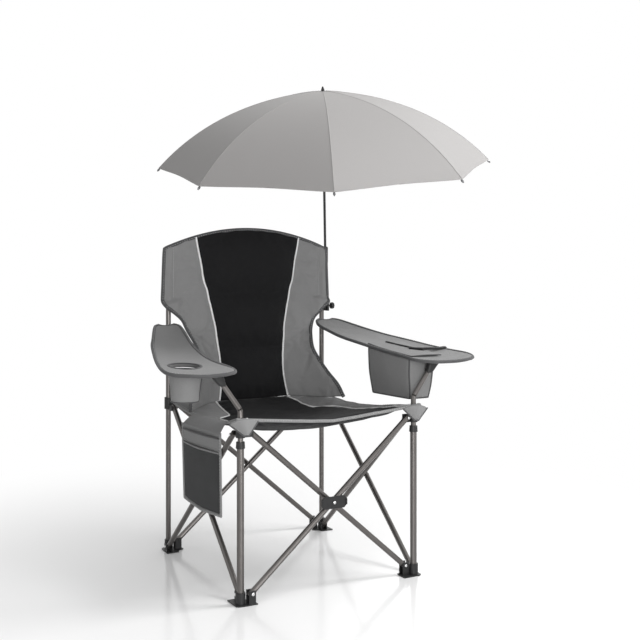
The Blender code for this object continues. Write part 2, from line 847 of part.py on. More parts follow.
def make_pocket(pivot):
    face = -HALF - TUBE_OFFSET - TUBE_RADIUS - GAP
    outline = [
        (face, POCKET_REAR, POCKET_TOP - POCKET_RISE),
        (face, POCKET_REAR - POCKET_TAPER, POCKET_BOTTOM),
        (face, (POCKET_REAR - POCKET_FRONT) / 2, POCKET_BOTTOM - POCKET_RISE / 2),
        (face, -POCKET_FRONT - POCKET_TAPER / 2, POCKET_BOTTOM + POCKET_RISE / 2),
        (face, -POCKET_FRONT, POCKET_TOP),
    ]
    made = solid(
        "side_pocket", prism(outline, (-POCKET_THICKNESS, 0, 0)), pivot, "grey_cloth"
    )
    middle = (POCKET_REAR - POCKET_FRONT) / 2
    half = (POCKET_REAR + POCKET_FRONT) / 2 - POCKET_TAPER - POCKET_WALL
    hollow = block(
        (face - POCKET_THICKNESS + POCKET_WALL, middle - half, POCKET_BOTTOM + POCKET_RISE),
        (face - POCKET_WALL, middle + half, POCKET_TOP + OVERRUN),
    )
    return combine(made, [hollow], "DIFFERENCE", pivot, "grey_cloth")


def seat_edges(forward):
    """(half width, y) of the seat at a share of its length, from the rear to the front."""
    rear = HALF - SEAT_REAR_INSET
    front = -HALF - SEAT_CORNER_OUT / 2
    narrow = SEAT_WAIST * math.sin(math.pi * forward) ** 1.2
    at_rear, at_front = HALF - SEAT_REAR_INSET / 2 - GAP, HALF + SEAT_CORNER_OUT
    ease = forward**4
    half_width = at_rear + (at_front - at_rear) * ease - narrow
    return half_width, rear + (front - rear) * forward


def seat_top(x, y):
    """Height of the seat's upper face."""
    rear = HALF - SEAT_REAR_INSET
    front = -HALF - SEAT_CORNER_OUT / 2
    forward = min(max((rear - y) / (rear - front), 0), 1)
    half_width, _ = seat_edges(forward)
    side = min(abs(x) / half_width, 1)
    corner = SEAT_REAR_CORNER_HEIGHT + (
        (SEAT_FRONT_CORNER_HEIGHT - SEAT_REAR_CORNER_HEIGHT) * forward**1.5
    )
    edge = corner - SEAT_SIDE_DIP * math.sin(math.pi * forward)
    across = 1 - side**2
    sag = SEAT_SAG * math.sin(math.pi * forward)
    dip = SEAT_FRONT_DIP * forward**3 * (1 - side**1.2)
    rear_dip = MM * 5 * (1 - forward) ** 3 * across
    return edge - sag * across - dip - rear_dip


def make_seat(pivot):
    columns, rows = 17, 15
    length_shares = [i / (rows - 1) for i in range(rows)]
    rings = []
    for forward in length_shares:
        half_width, y = seat_edges(forward)
        top, bottom = [], []
        for i in range(columns):
            side = 2 * i / (columns - 1) - 1
            x = half_width * side
            z = seat_top(x, y)
            pad = max(0.0, 1 - (abs(x) / SEAT_PAD_HALF) ** 6) if abs(x) < SEAT_PAD_HALF else 0
            thick = CLOTH_THICKNESS + (SEAT_PAD_THICKNESS - CLOTH_THICKNESS) * pad * math.sin(
                math.pi * (0.08 + 0.84 * forward)
            )
            near_corner = max(0, abs(side) - 0.8) / 0.2 * max(0, forward - 0.85) / 0.15
            thick += (SEAT_CORNER_THICKNESS - CLOTH_THICKNESS) * near_corner
            top.append(Vector((x, y, z)))
            bottom.append(Vector((x, y, z - thick)))
        rings.append(top + bottom[::-1])
    made = solid("seat", lofted(rings), pivot, "dark_cloth")
    eyelets = []
    for x_sign in (-1, 1):
        eyelets.append(
            rod(
                (x_sign * HALF, -HALF, SLEEVE_BOTTOM),
                (x_sign * HALF, -HALF, SEAT_FRONT_CORNER_HEIGHT + OVERRUN * 2),
                ARM_TUBE_RADIUS + GAP,
                12,
            )
        )
    return combine(made, eyelets, "DIFFERENCE", pivot, "dark_cloth")


# Back outline from the fold up: height, piping line, edge, and how far the edge comes forward
BACK_OUTLINE_SHARES = [
    (0.000, 0.66, 0.885, 1.02),
    (0.080, 0.62, 0.850, 0.96),
    (0.160, 0.60, 0.770, 0.84),
    (0.240, 0.61, 0.705, 0.66),
    (0.300, 0.63, 0.672, 0.50),
    (0.360, 0.65, 0.690, 0.32),
    (0.430, 0.67, 0.745, 0.16),
    (0.500, 0.71, 0.795, 0.08),
    (0.560, 0.74, 0.828, 0.04),
    (0.632, 0.79, 0.845, 0.02),
    (0.652, 0.80, 0.990, 0.00),
    (0.690, 0.84, 0.990, 0.00),
    (0.750, 0.88, 0.985, 0.00),
    (0.830, 0.91, 0.980, 0.00),
    (0.900, 0.95, 0.975, 0.00),
    (0.955, 0.98, 0.972, 0.00),
    (1.000, 1.00, 0.967, 0.00),
]
BACK_CHANNEL_SHARES = (0.30, 0.62)
POCKET_START_SHARE = 0.64


def back_depth(share):
    """How far back the panel's middle lies at a share of its height."""
    ease = 1 - (1 - share) ** 2.2
    return BACK_FOLD_DEPTH + (BACK_PLANE - BACK_FOLD_DEPTH) * ease


def back_puff(share):
    """The pad swells between its sewn channels."""
    stops = (0.0, *BACK_CHANNEL_SHARES, 1.0)
    for low, high in zip(stops, stops[1:]):
        if low <= share <= high:
            return math.sin(math.pi * (share - low) / (high - low)) ** 0.6
    return 0.0


def make_back(pivot):
    pad_columns, wing_shares = 4, (0.22, 0.45, 0.66, 0.78, 0.86, 0.93, 1.0)
    seam, bulge = SLEEVE_POCKET_WIDTH / 2, SLEEVE_POCKET_WIDTH / 2 - 2 * MM
    rings = []
    for share, piping, edge, forward in BACK_OUTLINE_SHARES:
        front, rear = [], []
        half_edge = BACK_HALF_WIDTH * edge
        half_pad = BACK_PAD_HALF * piping
        depth = back_depth(share)
        pocketed = share > POCKET_START_SHARE
        if pocketed:
            inner = (half_pad + HALF - seam) / 2
            wing = [inner, HALF - seam, HALF - bulge, HALF, HALF + bulge, HALF + seam, half_edge]
        else:
            wing = [half_pad + (half_edge - half_pad) * w for w in wing_shares]
        lateral = [half_pad * i / pad_columns for i in range(pad_columns + 1)] + wing
        for x in [-x for x in lateral[:0:-1]] + lateral:
            out = max(abs(x) - half_pad, 0) / (half_edge - half_pad)
            bow = abs(x) / BACK_HALF_WIDTH
            top = BACK_TOP - BACK_CORNER_DROP * bow**2
            y = depth + (BACK_PLANE - depth) * min(out * 1.6, 1) * min(share * 2.5, 1)
            y -= BACK_WING_REACH * forward * out**1.5
            low = seat_top(x, y) + GAP * 6
            z = low + (top - low) * share
            inside = 1 - min(abs(x) / half_pad, 1) ** 4
            swell = BACK_PAD_THICKNESS * inside * back_puff(share) * 0.75
            thick = BACK_WING_THICKNESS + swell
            if pocketed and abs(abs(x) - HALF) < (seam + bulge) / 2:
                pocket = SLEEVE_POCKET_THICKNESS / 2
                front.append(Vector((x, y - pocket, z)))
                rear.append(Vector((x, y + pocket, z)))
            else:
                front.append(Vector((x, y - thick, z)))
                rear.append(Vector((x, y, z)))
        rings.append(front + rear[::-1])
    made = solid("back", lofted(rings), pivot, "dark_cloth")
    bores = []
    for x_sign in (-1, 1):
        bores.append(
            rod(
                (x_sign * HALF, HALF, SLEEVE_POCKET_BOTTOM - CLAMP_HEIGHT * 3),
                (x_sign * HALF, HALF, REAR_POST_TOP + GAP),
                REAR_POST_RADIUS + GAP,
                16,
            )
        )
    return combine(made, bores, "DIFFERENCE", pivot, "dark_cloth")


POLE_X = HALF + POLE_OFFSET_X
POLE_Y = HALF + POLE_OFFSET_Y


def make_clamp(pivot):
    """A body that hooks the rear right post, with the pole's sleeve behind it."""
    low, high = CLAMP_BOTTOM, CLAMP_BOTTOM + CLAMP_HEIGHT
    left = HALF - REAR_POST_RADIUS - GAP - CLAMP_WALL
    throat_end = HALF + REAR_POST_RADIUS + CLAMP_THROAT
    right = throat_end + CLAMP_WALL
    rear = HALF + REAR_POST_RADIUS + GAP + CLAMP_WALL
    front = rear - CLAMP_DEPTH - CLAMP_WALL / 2
    body = solid("clamp_body", block((left, front, low), (right, rear, high)), pivot, "moulding")
    sleeve = rod(
        (POLE_X, POLE_Y, low), (POLE_X, POLE_Y, high), POLE_RADIUS + POLE_SLEEVE_WALL, 20
    )
    combine(body, [sleeve], "UNION", pivot, "moulding")
    throat_rear = HALF + REAR_POST_RADIUS + GAP
    cuts = [
        block(
            (HALF, front - OVERRUN, low - OVERRUN), (throat_end, throat_rear, high + OVERRUN)
        ),
        block(
            (HALF - REAR_POST_RADIUS - GAP, front - OVERRUN, low - OVERRUN),
            (HALF + MM, throat_rear, high + OVERRUN),
        ),
        rod(
            (throat_end - OVERRUN, HALF, (low + high) / 2),
            (right + OVERRUN, HALF, (low + high) / 2),
            SCREW_RADIUS + GAP,
            12,
        ),
        rod(
            (POLE_X, POLE_Y, low + POLE_PLUG),
            (POLE_X, POLE_Y, high + OVERRUN),
            POLE_RADIUS + GAP,
            16,
        ),
    ]
    return combine(body, cuts, "DIFFERENCE", pivot, "moulding")


def make_jaw(pivot):
    low, high = CLAMP_BOTTOM + 4 * MM, CLAMP_BOTTOM + CLAMP_HEIGHT - 4 * MM
    near = HALF + REAR_POST_RADIUS + GAP
    jaw = block((near, HALF - REAR_POST_RADIUS, low), (near + JAW_THICKNESS, HALF + 7 * MM, high))
    made = solid("clamp_jaw", jaw, pivot, "moulding")
    middle = (low + high) / 2
    seat = rod(
        (near + JAW_THICKNESS - SCREW_SOCKET, HALF, middle),
        (near + JAW_THICKNESS + OVERRUN, HALF, middle),
        SCREW_RADIUS + GAP,
        12,
    )
    return combine(made, [seat], "DIFFERENCE", pivot, "moulding")


def knob_start():
    throat_end = HALF + REAR_POST_RADIUS + CLAMP_THROAT
    return throat_end + CLAMP_WALL + KNOB_STANDOFF


def make_knob(pivot):
    middle = CLAMP_BOTTOM + CLAMP_HEIGHT / 2
    start = knob_start()
    tip = HALF + REAR_POST_RADIUS + GAP + JAW_THICKNESS - SCREW_SOCKET + GAP
    sides = KNOB_LOBES * 4
    rings = []
    for distance, share in ((0, 0.86), (MM, 1.0), (KNOB_LENGTH - MM, 1.0), (KNOB_LENGTH, 0.86)):
        ring = []
        for i in range(sides):
            a = 2 * math.pi * i / sides
            lobe = KNOB_LOBE_DEPTH * (1 - math.cos(KNOB_LOBES * a)) / 2
            r = KNOB_RADIUS * share - lobe
            ring.append(Vector((start + distance, HALF + r * math.cos(a), middle + r * math.sin(a))))
        rings.append(ring)
    made = solid("clamp_knob", lofted(rings), pivot, "moulding")
    screw = rod((tip, HALF, middle), (start + KNOB_LENGTH / 2, HALF, middle), SCREW_RADIUS, 12)
    return combine(made, [screw], "UNION", pivot, "moulding")


def shade_matrix():
    """From the sunshade's own frame, its Z along the shaft from the tilt pin, to the chair's."""
    azimuth = math.radians(TILT_AZIMUTH)
    turn = math.radians(RIB_AZIMUTH) - azimuth
    rotation = (
        Matrix.Rotation(azimuth, 4, "Z")
        @ Matrix.Rotation(math.radians(TILT_LEAN), 4, "Y")
        @ Matrix.Rotation(turn, 4, "Z")
    )
    return Matrix.Translation((POLE_X, POLE_Y, TILT_HEIGHT)) @ rotation


def shade_axis(angle):
    """The level direction square to a rib's plane, in the chair's frame."""
    turn = Vector((-math.sin(angle), math.cos(angle), 0))
    return shade_matrix().to_3x3() @ turn


def tilt_axis():
    azimuth = math.radians(TILT_AZIMUTH)
    return Vector((math.sin(azimuth), -math.cos(azimuth), 0))


def make_pole(pivot):
    pole = rod(
        (POLE_X, POLE_Y, CLAMP_BOTTOM + POLE_PLUG + GAP), (POLE_X, POLE_Y, POLE_TOP), POLE_RADIUS, 16
    )
    return solid("lower_pole", pole, pivot, "silver")


def make_tilt_collar(pivot):
    """The black knuckle on the pole's top, with a slot for the shaft's tongue."""
    axis = tilt_axis()
    base = Vector((POLE_X, POLE_Y, TILT_COLLAR_BOTTOM))
    top = TILT_HEIGHT + TILT_EYE_RADIUS - TILT_COLLAR_BOTTOM
    radius = TILT_COLLAR_RADIUS
    body = turned(
        base,
        (0, 0, 1),
        [(0, radius - MM), (MM * 2, radius), (top - MM * 3, radius), (top, radius - MM * 2)],
        20,
    )
    made = solid("tilt_collar", body, pivot, "moulding")
    bore = rod(
        base - Vector((0, 0, OVERRUN)), (POLE_X, POLE_Y, POLE_TOP + GAP), POLE_RADIUS + GAP, 16
    )
    along = Vector((-axis.y, axis.x, 0))
    half = TILT_TONGUE / 2 + GAP
    slot_low = TILT_HEIGHT - TILT_EYE_RADIUS - GAP * 2
    wide = radius + OVERRUN
    centre = Vector((POLE_X, POLE_Y, slot_low))
    outline = [
        centre + axis * half + along * wide,
        centre - axis * half + along * wide,
        centre - axis * half - along * wide,
        centre + axis * half - along * wide,
    ]
    slot = prism(outline, (0, 0, top + OVERRUN))
    combine(made, [bore, slot], "DIFFERENCE", pivot, "moulding")
    pin_centre = Vector((POLE_X, POLE_Y, TILT_HEIGHT))
    reach = axis * (TILT_TONGUE / 2 + TILT_CHEEK / 2)
    pin = rod(pin_centre - reach, pin_centre + reach, PIN_RADIUS, 12)
    return combine(made, [pin], "UNION", pivot, "moulding")


def make_shaft(pivot):
    """The thin shaft with the tongue that turns in the collar."""
    frame = shade_matrix()
    axis = tilt_axis()
    base = frame @ Vector((0, 0, 0))
    half = axis * (TILT_TONGUE / 2)
    up = frame.to_3x3() @ Vector((0, 0, 1))
    eye = rod(base - half, base + half, TILT_EYE_RADIUS, 20)
    made = solid("shaft", eye, pivot, "moulding")
    stem_low, stem_high = base + up * (TILT_EYE_RADIUS / 2), base + up * crown_height()
    stem = rod(stem_low, stem_high, SHAFT_RADIUS)
    combine(made, [stem], "UNION", pivot, "moulding")
    bore = rod(base - half * 2, base + half * 2, BORE_RADIUS, 12)
    side = frame.to_3x3() @ Vector((1, 0, 0))
    across = up.cross(side)
    low = CATCH_HEIGHT - CATCH_LENGTH / 2 - GAP
    high = CATCH_HEIGHT + CATCH_LENGTH / 2 + GAP
    wide = CATCH_WIDTH / 2 + GAP
    start = SHAFT_RADIUS - CATCH_DEPTH
    outline = [
        base + up * low + side * start + across * wide,
        base + up * low + side * start - across * wide,
        base + up * high + side * start - across * wide,
        base + up * high + side * start + across * wide,
    ]
    slot = prism(outline, side * (CATCH_DEPTH + OVERRUN))
    return combine(made, [bore, slot], "DIFFERENCE", pivot, "moulding")


def make_catch(pivot):
    frame = shade_matrix().to_3x3()
    base = shade_matrix() @ Vector((0, 0, 0))
    up, side = frame @ Vector((0, 0, 1)), frame @ Vector((1, 0, 0))
    across = up.cross(side)
    low, high = CATCH_HEIGHT - CATCH_LENGTH / 2, CATCH_HEIGHT + CATCH_LENGTH / 2
    start = SHAFT_RADIUS - CATCH_DEPTH + GAP + CATCH_TRAVEL
    proud = SHAFT_RADIUS + CATCH_STANDOUT
    wide = across * (CATCH_WIDTH / 2)
    outline = [
        base + up * low + side * start - wide,
        base + up * low + side * SHAFT_RADIUS - wide,
        base + up * (CATCH_HEIGHT + CATCH_LENGTH / 4) + side * proud - wide,
        base + up * high + side * proud - wide,
        base + up * high + side * start - wide,
    ]
    return solid("shaft_catch", prism(outline, wide * 2), pivot, "moulding")


def crown_height():
    return SHAFT_LENGTH - CROWN_BELOW_APEX


def make_crown(pivot):
    """The cap the ribs hinge on, and the finial above the cloth, on the shaft's end."""
    frame = shade_matrix()
    up = frame.to_3x3() @ Vector((0, 0, 1))
    base = frame @ Vector((0, 0, crown_height() + GAP))
    neck = SHAFT_RADIUS
    cloth = CROWN_BELOW_APEX + CANOPY_THICKNESS
    profile = [
        (-CROWN_HEIGHT / 2, CROWN_RADIUS),
        (CROWN_HEIGHT / 3, CROWN_RADIUS),
        (CROWN_HEIGHT / 2, neck),
        (cloth + GAP, neck),
        (cloth + MM, FINIAL_RADIUS),
        (cloth + FINIAL_HEIGHT * 0.5, FINIAL_RADIUS * 0.7),
        (cloth + FINIAL_HEIGHT, FINIAL_RADIUS * 0.3),
    ]
    made = solid("crown", turned(base, up, profile, 16), pivot, "moulding")
    bore = rod(base - up * CROWN_HEIGHT, base, SHAFT_RADIUS + GAP)
    return combine(made, [bore], "DIFFERENCE", pivot, "moulding")


def stretcher_droop():
    """Angle below level of the line from a rib's hinge to its stretcher."""
    return math.asin(STRETCHER_LENGTH / 2 / RIB_ARC_RADIUS)


def runner_drop():
    return 2 * STRETCHER_LENGTH * math.sin(stretcher_droop())


def make_runner(pivot):
    frame = shade_matrix()
    up = frame.to_3x3() @ Vector((0, 0, 1))
    base = frame @ Vector((0, 0, crown_height() - runner_drop()))
    half = RUNNER_HEIGHT / 2
    profile = [
        (-RUNNER_HEIGHT, RUNNER_RADIUS * 0.8),
        (-half, RUNNER_RADIUS * 0.72),
        (-half / 2, RUNNER_RADIUS),
        (half / 2, RUNNER_RADIUS),
    ]
    made = solid("runner", turned(base, up, profile, 16), pivot, "moulding")
    bore = rod(base - up * RUNNER_HEIGHT * 1.2, base + up * RUNNER_HEIGHT, SHAFT_RADIUS + GAP)
    return combine(made, [bore], "DIFFERENCE", pivot, "moulding")


def rib_point(turn, arc, lift=0.0):
    """A point along a rib, at an angle round the shade and an angle along the rib's own arc."""
    radius = RIB_HINGE_RADIUS + (RIB_ARC_RADIUS + lift) * math.sin(arc)
    height = crown_height() - RIB_ARC_RADIUS + (RIB_ARC_RADIUS + lift) * math.cos(arc)
    return Vector((radius * math.cos(turn), radius * math.sin(turn), height))


def make_rib(index, pivot):
    frame = shade_matrix()
    turn = 2 * math.pi * index / RIB_COUNT
    total = math.radians(RIB_ARC)
    steps = 10
    start = CROWN_RADIUS + GAP
    root = frame @ Vector((start * math.cos(turn), start * math.sin(turn), crown_height()))
    points, radii = [root], [RIB_RADIUS * 0.7]
    for i in range(1, steps + 1):
        points.append(frame @ rib_point(turn, total * i / steps))
        radii.append(RIB_RADIUS)
    outward = (points[-1] - points[-2]).normalized()
    for share, radius in ((0.05, RIB_TIP_RADIUS * 0.8), (0.5, RIB_TIP_RADIUS), (1.0, RIB_RADIUS)):
        points.append(points[steps] + outward * (RIB_TIP_LENGTH * share))
        radii.append(radius)
    return solid(f"rib_{index + 1}", pipe(points, radii, 6), pivot, "wire")


def stretcher_ends(index):
    """The pivots on the rib and on the runner."""
    frame = shade_matrix()
    turn = 2 * math.pi * index / RIB_COUNT
    upper = frame @ rib_point(turn, 2 * stretcher_droop())
    lower = frame @ Vector(
        (
            RIB_HINGE_RADIUS * math.cos(turn),
            RIB_HINGE_RADIUS * math.sin(turn),
            crown_height() - runner_drop(),
        )
    )
    return upper, lower


def make_stretcher(index, pivot):
    turn = 2 * math.pi * index / RIB_COUNT
    upper, lower = stretcher_ends(index)
    shift = shade_axis(turn) * (RIB_RADIUS + STRETCHER_RADIUS + GAP)
    along = (upper - lower).normalized()
    inner = (RIB_HINGE_RADIUS - RUNNER_RADIUS - GAP) / math.cos(stretcher_droop())
    start = lower + shift - along * inner
    points = [start, lower + shift, upper + shift, upper + shift + along * OVERRUN]
    thin = STRETCHER_RADIUS * 0.7
    bar = pipe(points, [thin, STRETCHER_RADIUS, STRETCHER_RADIUS, thin], 6)
    return solid(f"stretcher_{index + 1}", bar, pivot, "wire")


def canopy_point(turn, share, lift):
    """A point of the cloth; it lies on the ribs and hollows a little between them."""
    between = abs(math.sin(RIB_COUNT * turn / 2))
    total = math.radians(RIB_ARC)
    hem = CANOPY_HEM_ARCH / RIB_ARC_RADIUS * between**2 * share**6
    arc = total * share - hem
    hollow = CANOPY_SAG * between**1.5 * share**1.5
    point = rib_point(turn, arc, CANOPY_CLEARANCE + lift)
    point.z += CROWN_BELOW_APEX * (1 - share) ** 2 * 0.75 - CANOPY_CLEARANCE * (1 - share) ** 2
    centre_line = math.hypot(point.x, point.y)
    inward = hollow / max(centre_line, hollow)
    return Vector((point.x * (1 - inward), point.y * (1 - inward), point.z - hollow * 0.3))


def make_canopy(pivot):
    frame = shade_matrix()
    panels, rows = 4, 9
    turns = [2 * math.pi * i / (RIB_COUNT * panels) for i in range(RIB_COUNT * panels)]
    shares = [0.006 + 0.994 * i / (rows - 1) for i in range(rows)]
    shape = bmesh.new()
    skins = []
    for lift in (0.0, CANOPY_THICKNESS):
        skins.append(
            [[shape.verts.new(frame @ canopy_point(t, s, lift)) for t in turns] for s in shares]
        )
    under, over = skins
    count = len(turns)
    for i in range(count):
        j = (i + 1) % count
        for k in range(rows - 1):
            shape.faces.new((over[k][i], over[k][j], over[k + 1][j], over[k + 1][i]))
            shape.faces.new((under[k][j], under[k][i], under[k + 1][i], under[k + 1][j]))
        shape.faces.new((over[0][j], over[0][i], under[0][i], under[0][j]))
        shape.faces.new((over[-1][i], over[-1][j], under[-1][j], under[-1][i]))
    return solid("canopy", shape, pivot, "shade_cloth")


def middle_of(low, high):
    return (Vector(low) + Vector(high)) / 2


def build_face(label, start, end, along_x, first, pivots):
    """The two crossed tubes of one face. first names the tube that hangs on the earlier post."""
    a, b = CORNERS[start], CORNERS[end]
    low_a = a.x_pivot(False) if along_x else a.y_pivot(False)
    high_a = a.x_pivot(True) if along_x else a.y_pivot(True)
    low_b = b.x_pivot(False) if along_x else b.y_pivot(False)
    high_b = b.x_pivot(True) if along_x else b.y_pivot(True)
    tube_a = (low_a, high_b)
    tube_b = (low_b, high_a)
    square = middle_of(*tube_b) - middle_of(*tube_a)
    pivots[label + "_a"] = Pivot(f"{label}_first_pivot", low_a, pivots[first])
    crossing = middle_of(*tube_a)
    pivots[label + "_b"] = Pivot(f"{label}_crossing", crossing, pivots[label + "_a"])
    outer_a = (
        abs(middle_of(*tube_a).y) > HALF if along_x else abs(middle_of(*tube_a).x) > HALF
    )
    make_cross_tube(f"{label}_tube_1", *tube_a, pivots[label + "_a"], square, outer_a)
    make_cross_tube(f"{label}_tube_2", *tube_b, pivots[label + "_b"], -square, not outer_a)
    return low_b, high_a, high_b


def build_frame():
    root = Pivot("chair_origin", (0, 0, 0))
    pivots = {"root": root}
    rear_b_low, rear_high_left, rear_high_right = build_face(
        "rear", "rear_left", "rear_right", True, "root", pivots
    )
    left_b_low, _, left_high_front = build_face(
        "left", "rear_left", "front_left", False, "root", pivots
    )
    pivots["rear_right"] = Pivot("rear_right_pivot", rear_b_low, pivots["rear_b"])
    pivots["front_left"] = Pivot("front_left_pivot", left_b_low, pivots["left_b"])
    right_b_low, _, right_high_front = build_face(
        "right", "rear_right", "front_right", False, "rear_right", pivots
    )
    pivots["front_right"] = Pivot("front_right_pivot", right_b_low, pivots["right_b"])
    build_face("front", "front_left", "front_right", True, "front_left", pivots)
    pivots["rear_left_slider"] = Pivot("rear_left_slider_pivot", rear_high_left, pivots["rear_b"])
    pivots["rear_right_slider"] = Pivot(
        "rear_right_slider_pivot", rear_high_right, pivots["rear_a"]
    )
    pivots["front_left_arm"] = Pivot("front_left_arm_pivot", left_high_front, pivots["left_a"])
    pivots["front_right_arm"] = Pivot("front_right_arm_pivot", right_high_front, pivots["right_a"])
    pivots["rear_left"] = root
    for name, corner in CORNERS.items():
        make_foot(name + "_foot", corner, pivots[name])
        make_post(name + "_post", corner, pivots[name])
        carrier = pivots[name + ("_slider" if corner.y_sign > 0 else "_arm")]
        make_bracket(name + "_bracket", corner, carrier)
        if corner.y_sign < 0:
            make_collar(name + "_collar", corner, pivots[name])
            make_arm_tube(name.replace("front_", "") + "_arm_tube", corner, carrier)
    front_outer = "front_a" if abs(pivots["front_a"].place.y) > HALF else "front_b"
    make_hub(pivots[front_outer])
    return pivots


def build_soft(pivots):
    make_seat(pivots["root"])
    make_back(pivots["root"])
    centre = cup_centre()
    cup_hole = rod(
        centre + Vector((0, 0, cup_bottom() + CUP_HEIGHT / 2)),
        centre + Vector((0, 0, ARM_REAR_HEIGHT)),
        CUP_RADIUS - CUP_WALL,
        24,
    )
    make_armrest("left_armrest", -1, pivots["front_left_arm"], [cup_hole])
    make_armrest("right_armrest", 1, pivots["front_right_arm"], [bag_mouth()])
    make_cup_holder(pivots["front_left_arm"])
    make_bag(pivots["front_right_arm"])
    hinge = lid_hinge()
    hinge.z = arm_height(hinge.y) + GAP + LID_THICKNESS / 2
    lid = Pivot("cooler_lid_hinge", hinge, pivots["front_right_arm"])
    make_lid(lid)
    make_pocket(pivots["root"])


def build_shade(pivots):
    middle = CLAMP_BOTTOM + CLAMP_HEIGHT / 2
    post = pivots["rear_right"]
    make_clamp(post)
    jaw = Pivot("clamp_jaw_slide", (HALF, HALF, middle), post)
    make_jaw(jaw)
    knob = Pivot("clamp_knob_axis", (knob_start(), HALF, middle), jaw)
    make_knob(knob)
    swivel = Pivot("pole_swivel", (POLE_X, POLE_Y, CLAMP_BOTTOM), post)
    make_pole(swivel)
    make_tilt_collar(swivel)
    tilt = Pivot("shade_tilt", (POLE_X, POLE_Y, TILT_HEIGHT), swivel)
    make_shaft(tilt)
    make_crown(tilt)
    make_canopy(tilt)
    frame = shade_matrix()
    catch = Pivot("catch_slide", frame @ Vector((0, 0, CATCH_HEIGHT)), tilt)
    make_catch(catch)
    for index in range(RIB_COUNT):
        turn = 2 * math.pi * index / RIB_COUNT
        hinge = frame @ Vector(
            (RIB_HINGE_RADIUS * math.cos(turn), RIB_HINGE_RADIUS * math.sin(turn), crown_height())
        )
        rib = Pivot(f"rib_{index + 1}_hinge", hinge, tilt)
        make_rib(index, rib)
        upper, lower = stretcher_ends(index)
        stretcher = Pivot(f"stretcher_{index + 1}_hinge", upper, rib)
        make_stretcher(index, stretcher)
        if index == 0:
            runner = Pivot("runner_hinge", lower, stretcher)
            make_runner(runner)


def centre_on_floor(root):
    """Moves the whole chair so that its box is centred on X and Y."""
    bpy.context.view_layer.update()
    lows, highs = [math.inf] * 2, [-math.inf] * 2
    for thing in bpy.context.scene.objects:
        if thing.type != "MESH":
            continue
        for vert in thing.data.vertices:
            place = thing.matrix_world @ vert.co
            for k in range(2):
                lows[k] = min(lows[k], place[k])
                highs[k] = max(highs[k], place[k])
    root.empty.location.x -= (lows[0] + highs[0]) / 2
    root.empty.location.y -= (lows[1] + highs[1]) / 2
    bpy.context.view_layer.update()


def main():
    clear_scene()
    pivots = build_frame()
    build_soft(pivots)
    build_shade(pivots)
    centre_on_floor(pivots["root"])


main()
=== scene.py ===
import math

import bmesh
import bpy
from mathutils import Matrix, Vector, noise


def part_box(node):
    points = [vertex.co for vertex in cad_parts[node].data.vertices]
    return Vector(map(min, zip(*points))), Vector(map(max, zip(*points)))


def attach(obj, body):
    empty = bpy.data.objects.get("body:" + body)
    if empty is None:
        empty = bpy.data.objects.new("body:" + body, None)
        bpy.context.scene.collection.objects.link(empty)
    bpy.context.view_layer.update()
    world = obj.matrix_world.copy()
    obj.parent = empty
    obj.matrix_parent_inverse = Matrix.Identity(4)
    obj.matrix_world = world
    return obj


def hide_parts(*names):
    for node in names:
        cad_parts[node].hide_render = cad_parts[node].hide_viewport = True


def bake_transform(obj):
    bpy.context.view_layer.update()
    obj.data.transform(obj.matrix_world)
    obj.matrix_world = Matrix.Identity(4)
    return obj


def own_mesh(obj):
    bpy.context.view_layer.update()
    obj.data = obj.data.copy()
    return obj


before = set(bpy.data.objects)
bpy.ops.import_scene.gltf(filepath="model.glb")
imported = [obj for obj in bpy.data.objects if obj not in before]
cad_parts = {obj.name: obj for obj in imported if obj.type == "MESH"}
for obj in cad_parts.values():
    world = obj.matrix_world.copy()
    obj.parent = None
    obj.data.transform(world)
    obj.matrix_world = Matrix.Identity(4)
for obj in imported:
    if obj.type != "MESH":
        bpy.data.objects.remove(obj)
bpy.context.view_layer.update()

tau = 2 * math.pi


def middleOf(node):
    low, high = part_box(node)
    return (low + high) / 2


# pieces are laid out from the middle of the four posts, on the ground
home = (middleOf("front_left_post") + middleOf("rear_right_post")) / 2
home.z = 0.0
postHalf = (middleOf("rear_right_post").x - middleOf("front_left_post").x) / 2


def smoothStep(low, high, value):
    share = min(max((value - low) / (high - low), 0.0), 1.0)
    return share * share * (3 - 2 * share)


def readTable(rows, at):
    # the table's other columns at a value of its first one, on a smooth curve
    at = min(max(at, rows[0][0]), rows[-1][0])
    k = next(i for i in range(1, len(rows)) if at <= rows[i][0])
    low, high = rows[k - 1], rows[k]
    before, after = rows[max(k - 2, 0)], rows[min(k + 1, len(rows) - 1)]
    span = high[0] - low[0]
    t = (at - low[0]) / span
    found = []
    for a, b, c, d in zip(before[1:], low[1:], high[1:], after[1:]):
        leave = (c - a) / (high[0] - before[0]) * span
        reach = (d - b) / (after[0] - low[0]) * span
        found.append((2 * t**3 - 3 * t**2 + 1) * b + (t**3 - 2 * t**2 + t) * leave
                     + (3 * t**2 - 2 * t**3) * c + (t**3 - t**2) * reach)
    return found


def ripple(place, size, seed=0.0):
    return noise.noise(Vector(place) / size + Vector((seed, -seed, seed / 2)))


def evenly(path, step):
    # the path again, with points at an even distance
    lengths = [0.0]
    for a, b in zip(path, path[1:]):
        lengths.append(lengths[-1] + (b - a).length)
    count = max(2, round(lengths[-1] / step))
    found, k = [], 0
    for i in range(count + 1):
        want = lengths[-1] * i / count
        while k < len(path) - 2 and lengths[k + 1] < want:
            k += 1
        span = max(lengths[k + 1] - lengths[k], 1e-9)
        found.append(path[k].lerp(path[k + 1], min((want - lengths[k]) / span, 1.0)))
    return found


